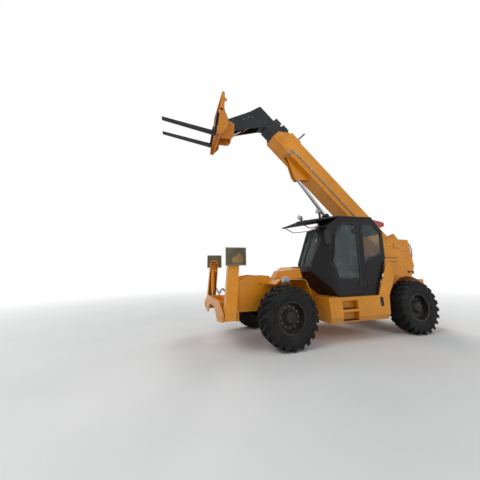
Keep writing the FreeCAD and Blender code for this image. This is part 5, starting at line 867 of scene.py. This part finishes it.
def gasket(piece, pane, width, thick):
    """A rubber section all round a pane, standing out of the cab's left wall."""
    outline = [Vector(p) for p in rounded_outline(pane, 0.06)]
    middle = sum(outline, Vector((0, 0))) / len(outline)
    rings = []
    for k, p in enumerate(outline):
        run = (outline[(k + 1) % len(outline)] - outline[k - 1]).normalized()
        out = Vector((run.y, -run.x))
        if out.dot(p - middle) < 0:
            out = -out
        rings.append([at(CAB_WALL + lift, *(p + out * w)) for lift, w in (
            (-thick, -width), (thick * 0.6, -width), (thick, 0.0), (thick * 0.6, width),
            (-thick, width))])
    piece.loft(rings, closed=True)


def cab_trim():
    """Window rubbers, drip rail, grab rail and screws; the door's rubber, latch and key."""
    piece = Piece("cab_trim", "trim", "black", "zinc")
    gasket(piece, QUARTER_PANE, 0.014, 0.007)
    piece.hose(at, ((1.132, -2.02, 2.792), (1.134, -1.505, 2.805), (1.132, -0.99, 2.806)),
               0.01, 8)
    piece.use("black").hose(at, (
        (1.12, -2.33, 1.76), (1.15, -2.325, 1.79), (1.152, -2.262, 2.06),
        (1.15, -2.2, 2.3), (1.122, -2.196, 2.33)), 0.01)
    piece.use("zinc")
    for x, y, z in ((1.131, -1.386, 1.215), (1.131, -1.386, 1.255), (1.131, -1.386, 2.435),
                    (1.131, -1.386, 2.475), (1.13, -0.93, 1.3), (1.13, -1.08, 1.06),
                    (1.13, -0.8, 1.74)):
        piece.bolt(at(x, y, z), X, 0.006)
    piece.done("chassis", bevel=0.0012)
    door = Piece("door_trim", "trim", "black")
    gasket(door, DOOR_PANE, 0.015, 0.006)
    door.use("black").bar(at, (1.133, -2.345, 1.47), (1.133, -2.3, 1.47), 0.006)
    door.turned(at(1.131, -2.3, 1.52), X, [(0.0, 0.016), (0.006, 0.015), (0.008, 0.01)], 20)
    door.done("door", bevel=0.001)


def cushion(name, low, high, crown):
    """A stuffed pad: its faces crown, its sides pull in at the corners, two channels cross it."""
    piece = Piece(name, "seat")
    steps = 10
    low, high = at(*low), at(*high)
    size, middle = high - low, (low + high) / 2
    axis = min(range(3), key=lambda i: size[i])
    u, v = [i for i in range(3) if i != axis]

    def point(a, b, face):
        p = Vector(middle)
        fa, fb = 2 * a / steps - 1, 2 * b / steps - 1
        pull = 1 - 0.1 * (fa * fa) * (fb * fb)
        dome = 1 - max(abs(fa), abs(fb)) ** 4
        channel = 0.006 * math.exp(-((abs(fa) - 0.55) / 0.05) ** 2)
        p[u] += fa * size[u] / 2 * pull
        p[v] += fb * size[v] / 2 * pull
        p[axis] += face * (size[axis] * (0.3 + 0.2 * dome)
                           + crown * (1 - fa * fa) * (1 - fb * fb) - channel)
        return p

    grid = {(a, b, face): piece.bm.verts.new(point(a, b, face)) for face in (-1, 1)
            for a in range(steps + 1) for b in range(steps + 1)}
    for face in (-1, 1):
        for a in range(steps):
            for b in range(steps):
                piece.bm.faces.new([grid[a + i, b + j, face]
                                    for i, j in ((0, 0), (1, 0), (1, 1), (0, 1))])
    rim = ([(a, 0) for a in range(steps)] + [(steps, b) for b in range(steps)]
           + [(a, steps) for a in range(steps, 0, -1)] + [(0, b) for b in range(steps, 0, -1)])
    for here, there in zip(rim, rim[1:] + rim[:1]):
        piece.bm.faces.new((grid[*here, -1], grid[*there, -1], grid[*there, 1], grid[*here, 1]))
    pad = piece.done("chassis", smooth=80)
    m = pad.modifiers.new("round", "SUBSURF")
    m.levels = m.render_levels = 1
    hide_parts("seat")


def seat():
    """A suspension seat: bellows, pan and shell, with cushion, backrest and headrest."""
    base = Piece("seat_frame", "trim", "steel", "hose")
    left, right = 0.48, 0.92
    fold = 0.045
    for k in range(6):
        z, wide = 1.01 + k * fold, 0.012 * (k % 2)
        base.use("hose").block((0.52 - wide, -1.56, z), (0.88 + wide, -1.2, z + fold))
    base.use("trim").block((left, -1.59, 1.285), (right, -1.15, 1.385))
    base.block((left + 0.02, -1.168, 1.33), (right - 0.02, -1.146, 2.04))
    base.use("steel").bar(at, (left + 0.02, -1.58, 1.3), (right - 0.02, -1.58, 1.3), 0.01, 10)
    base.done("chassis", bevel=0.008, replaces=("seat",), segments=3)
    cushion("seat_cushion", (0.465, -1.595, 1.37), (0.935, -1.19, 1.475), 0.01)
    cushion("seat_backrest", (0.485, -1.255, 1.47), (0.915, -1.165, 2.02), 0.01)
    cushion("seat_headrest", (0.575, -1.235, 2.02), (0.825, -1.165, 2.095), 0.004)


def cab_interior():
    """Dashboard with dials, side console with levers, pedals, floor mat and inner lining."""
    piece = Piece("cab_interior", "trim", "hose", "steel", "lens")
    piece.plate(((-2.64, 1.42), (-2.64, 1.6), (-2.47, 1.64), (-2.33, 1.56),
                 (-2.3, 1.44)), 0.35, 0.5)
    for low, high in (((0.36, -2.32, 0.998), (0.44, -1.2, 1.48)),
                      ((0.44, -2.32, 1.44), (0.5, -1.56, 1.5)),
                      ((0.35, -0.9, 1.3), (1.06, -0.87, 1.76))):
        piece.block(low, high)
    piece.use("hose").block((0.45, -2.3, 0.996), (1.06, -1.15, 1.006))
    for y in (-2.08, -2.0, -1.92):
        piece.use("steel").hose(at, ((0.47, y, 1.5), (0.475, y - 0.01, 1.58),
                                     (0.485, y - 0.03, 1.65)), 0.007, 8, per=4)
        piece.use("hose").turned(at(0.485, y - 0.03, 1.64), Z, [
            (0.0, 0.012), (0.02, 0.02), (0.045, 0.021), (0.06, 0.012)], 16)
    for x in (0.52, 0.6, 0.68):
        piece.use("lens").turned(at(x, -2.38, 1.598), Vector((0, 0.5, 0.86)), [
            (0.0, 0.032), (0.006, 0.031), (0.008, 0.026)], 24)
    for x in (0.56, 0.64):
        piece.use("steel").bar(at, (x, -2.45, 1.28), (x, -2.38, 1.08), 0.009)
        piece.block((x - 0.035, -2.4, 1.05), (x + 0.035, -2.386, 1.12))
    piece.done("chassis", bevel=0.006, segments=3)


def steering():
    """A padded wheel on three spokes with a column and boot down to the floor."""
    piece = Piece("steering_rim", "trim", "steel", "hose")
    hub = at(0.7, -1.96, 1.64)
    tilt = Matrix.Rotation(math.radians(20), 3, "X")
    axis, ahead = tilt @ Z, tilt @ Y
    piece.use("hose").tube(circle(hub, X, ahead, 0.174, 48), 0.0145, 12, closed=True)
    for a in turns(3, math.radians(90)):
        piece.use("steel").tube([hub, hub + (X * math.cos(a) + ahead * math.sin(a)) * 0.17],
                                [0.014, 0.008], 8)
    piece.use("trim").turned(hub - axis * 0.02, axis, [
        (0.0, 0.05), (0.02, 0.048), (0.034, 0.036), (0.036, 0.01)])
    length = (hub.z - COLUMN_FOOT_Z) / axis.z - 0.04
    piece.turned(hub, -axis, [(0.015, 0.026), (0.1, 0.028), (0.18, 0.031), (length, 0.031)], 24)
    piece.done("chassis", bevel=0.002, replaces=("steering_wheel",))


def lamps():
    """Rims, lenses and rear caps of the two head lamps and the two lamps on the visor."""
    piece = Piece("lamp_lenses", "lens", "chrome", "trim")
    for x, y, z, r in ((1.075, -3.596, 1.349, 0.068), (-1.075, -3.596, 1.349, 0.068),
                       (1.071, -3.092, 2.732, 0.054), (1.071, -2.575, 2.912, 0.054)):
        face = at(x, y, z)
        piece.use("chrome").turned(face, -Y, [
            (-0.012, r - 0.001), (-0.002, r - 0.0005), (0.002, r - 0.004), (0.002, r - 0.01)], 36)
        piece.use("lens").turned(face, -Y, [
            (0.0, r - 0.009), (0.003, r - 0.016), (0.005, r * 0.4), (0.006, 0.003)], 36)
        piece.use("trim").turned(face, Y, [
            (0.03 + r * 0.9, r * 0.62), (0.045 + r * 0.9, r * 0.6)], 24)
    piece.done("chassis", bevel=0.0008)


def visor_fittings():
    """Ribs, screws and the lamp cable on the visor."""
    piece = Piece("visor_fittings", "trim", "zinc", "hose")
    front, rear = Vector((0, -3.156, 2.586)), Vector((0, -2.03, 2.788))
    for x in (0.47, 0.64, 0.81, 0.98):
        piece.bar(at, (x, -3.14, 2.596), (x, -2.05, 2.792), 0.007)
    piece.use("zinc")
    for x in (0.385, 1.1):
        for share in (0.06, 0.35, 0.65, 0.94):
            place = front.lerp(rear, share)
            piece.bolt(at(x, place.y, place.z + 0.04), Vector((0, -0.177, 0.984)), 0.008)
    piece.use("hose").hose(at, ((1.085, -2.995, 2.7), (1.092, -2.94, 2.668),
                                (1.095, -2.7, 2.708), (1.095, -2.3, 2.78),
                                (1.09, -2.05, 2.826)), 0.005, 8)
    piece.done("chassis", bevel=0.001)


def mirror_and_wiper():
    """The mirror's glass and shell edge, the wiper's blade, arm and hub."""
    piece = Piece("mirror_glass_unit", "mirror", "trim")
    piece.plate(rectangle(-2.488, 2.134, -2.352, 2.424), 1.1395, 0.003)
    edge = rounded_outline(rectangle(-2.5, 2.116, -2.34, 2.441), 0.028)
    piece.use("trim").tube([at(1.16, *p) for p in edge], 0.008, 8, closed=True)
    piece.done("chassis", bevel=0.001)
    wiper = Piece("wiper_blade", "hose", "trim")

    def on_screen(x, z, lift):
        """A point lift before the windscreen, which leans back from its foot."""
        foot_y, foot_z, slope = -2.762, 1.6, 0.395 / 0.96
        return at(x, foot_y + (z - foot_z) * slope - lift, z)

    wiper.bar(on_screen, (0.5, 1.78, 0.01), (0.64, 2.23, 0.01), 0.007)
    wiper.use("trim").bar(on_screen, (0.566, 1.672, 0.016), (0.572, 2.01, 0.018), 0.006)
    wiper.turned(on_screen(0.566, 1.672, 0.002), Vector((0, -0.92, 0.38)), [
        (0.0, 0.02), (0.016, 0.018), (0.02, 0.01)], 20)
    wiper.done("chassis", bevel=0.001)


def engine_cover_fittings():
    """Mesh and bars behind the vents, latches, screws, the hinge line and the exhaust stub."""
    piece = Piece("engine_cover_fittings", "mesh", "trim", "zinc", "steel", "paint")
    piece.block((-1.178, -2.1, 0.94), (-1.174, -1.15, 1.4))
    for y in (-2.082 + 0.105 * k for k in range(9)):
        for z in (1.03, 1.1, 1.17, 1.24, 1.31):
            piece.block((-1.186, y, z), (-1.18, y + 0.038, z + 0.008))
    for y in (-2.42, -1.04):
        piece.use("trim").block((-1.202, y, 1.16), (-1.189, y + 0.09, 1.19))
    for y in (-2.56, -2.0, -1.5, -1.0):
        piece.use("zinc").bolt(at(-1.19, y, 0.64), -X, 0.009)
    piece.use("steel").turned(at(-0.62, -1.26, 1.636), Z, [
        (0.0, 0.062), (0.01, 0.06), (0.012, 0.036), (0.15, 0.036), (0.158, 0.034),
        (0.158, 0.028)])
    piece.use("paint").bar(at, (-1.191, -2.62, 1.44), (-1.191, -0.92, 1.44), 0.006)
    piece.done("chassis", bevel=0.0015)


def tail_fittings():
    """Tail lamps, the tow pin and the weight's screws."""
    piece = Piece("tail_fittings", "ruby", "amber", "zinc", "steel")
    for side in SIDES:
        for finish, x, r, inner in (("ruby", 0.43, 0.04, 0.03), ("amber", 0.33, 0.032, 0.024)):
            piece.use(finish).turned(at(side * x, 1.25, 1.16), Y, [
                (-0.002, r), (0.0005, r), (0.001, inner)], 24)
        for z in (0.68, 0.9):
            piece.use("zinc").turned(at(side * 0.47, 1.25, z), Y, [
                (-SINK, 0.016), (0.0006, 0.015)], 6)
    piece.use("steel").bar(at, (0, 1.155, 0.64), (0, 1.155, 0.9), 0.0185, 14)
    piece.turned(at(0, 1.155, 0.881), Z, [(0.0, 0.034), (0.012, 0.034), (0.016, 0.028)], 20)
    piece.done("chassis", bevel=0.0006)


# Camera, light and floor
def camera():
    """The photo's camera, fitted to the machine; its lengths in the picture are in pixels."""
    yaw, pitch, roll = 0.2973, 0.251, -0.0172
    place = at(5.5346, -5.8914, 1.5495)
    picture, focal, aside, above = 480, 224.2, 0.5, -26.5
    sensor = 36.0
    ahead = Vector((-math.cos(yaw) * math.cos(pitch), math.sin(yaw) * math.cos(pitch),
                    math.sin(pitch)))
    right = ahead.cross(Z).normalized()
    up = right.cross(ahead)
    turn = Matrix((right * math.cos(roll) + up * math.sin(roll),
                   up * math.cos(roll) - right * math.sin(roll), -ahead)).transposed().to_4x4()
    data = bpy.data.cameras.new("camera")
    data.sensor_width, data.lens = sensor, focal / picture * sensor
    data.shift_x, data.shift_y = aside / picture, above / picture
    data.clip_start, data.clip_end = 0.05, 400
    cam = bpy.data.objects.new("camera", data)
    cam.matrix_world = Matrix.Translation(place) @ turn
    bpy.context.scene.collection.objects.link(cam)
    bpy.context.scene.camera = cam


def sky():
    """A pale blue light all round, which the camera, mirrors and glass see as white."""
    bpy.context.scene.world = bpy.data.worlds.new("studio")
    g = Graph(bpy.context.scene.world)
    light = g.tree.nodes["Background"]
    g.feed(light.inputs["Color"], (0.86, 0.93, 1.0))
    g.feed(light.inputs["Strength"], 0.46)
    white = g.node("ShaderNodeBackground", {"Color": (1, 1, 1)})
    mix = g.node("ShaderNodeMixShader", {
        "Fac": g.seen(), 1: light.outputs["Background"], 2: white.outputs["Background"]})
    g.feed(g.tree.nodes["World Output"].inputs["Surface"], mix.outputs["Shader"])


def floor():
    """A pale disc that keeps the shadow near the machine and fades to white away from it."""
    radius, fade_start, fade_end = 90, 5.0, 15.0
    bpy.ops.mesh.primitive_circle_add(vertices=96, radius=radius, fill_type="NGON",
                                      location=(0, 0, 0))
    disc = bpy.context.object
    disc.name = "floor"
    g = material("floor")
    patches = g.ramp(g.noise(0.6, 3), 0.3, 0.7)
    g.shade({"Base Color": g.mix(patches, (0.8, 0.8, 0.79), (0.84, 0.84, 0.83)),
             "Roughness": 0.9})
    away = g.node("ShaderNodeVectorMath", {0: g.place()}, operation="LENGTH").outputs["Value"]
    mix = g.node("ShaderNodeMixShader", {
        "Fac": g.times(g.ramp(away, fade_start, fade_end), g.seen()),
        1: g.tree.nodes["Principled BSDF"].outputs["BSDF"],
        2: g.node("ShaderNodeEmission").outputs["Emission"]})
    g.feed(g.tree.nodes["Material Output"].inputs["Surface"], mix.outputs["Shader"])
    disc.data.materials.append(g.owner)


def lights():
    """Three wide lamps that look at the middle of the machine."""
    target = Vector((0, 0, 1.6))
    for name, place, size, power, colour in (
            ("key", (7.0, -12.0, 12.0), 7.0, 820, (1.0, 0.96, 0.91)),
            ("side", (12.0, 3.0, 7.0), 6.0, 300, (1.0, 0.98, 0.96)),
            ("back", (-9.0, 7.0, 11.0), 7.0, 800, (1.0, 0.96, 0.9))):
        data = bpy.data.lights.new(name, "AREA")
        data.size, data.energy, data.color = size, power, colour
        lamp = bpy.data.objects.new(name, data)
        bpy.context.scene.collection.objects.link(lamp)
        lamp.location = place
        lamp.rotation_euler = (target - Vector(place)).to_track_quat("-Z", "Y").to_euler()


camera()
for wheel in WHEELS:
    tyre(*wheel)
    wheel_fittings(*wheel)
for build in (boom_fittings, section_fittings, head_fittings, cylinder_fittings,
              carriage_fittings, frame_fittings, box_panels, beam_fittings, leg_fittings,
              tower_hoses, axle_fittings, cab_trim, seat, cab_interior, steering, lamps,
              visor_fittings, mirror_and_wiper, engine_cover_fittings, tail_fittings,
              sky, lights, floor):
    build()
bpy.context.scene.view_settings.view_transform = "Standard"
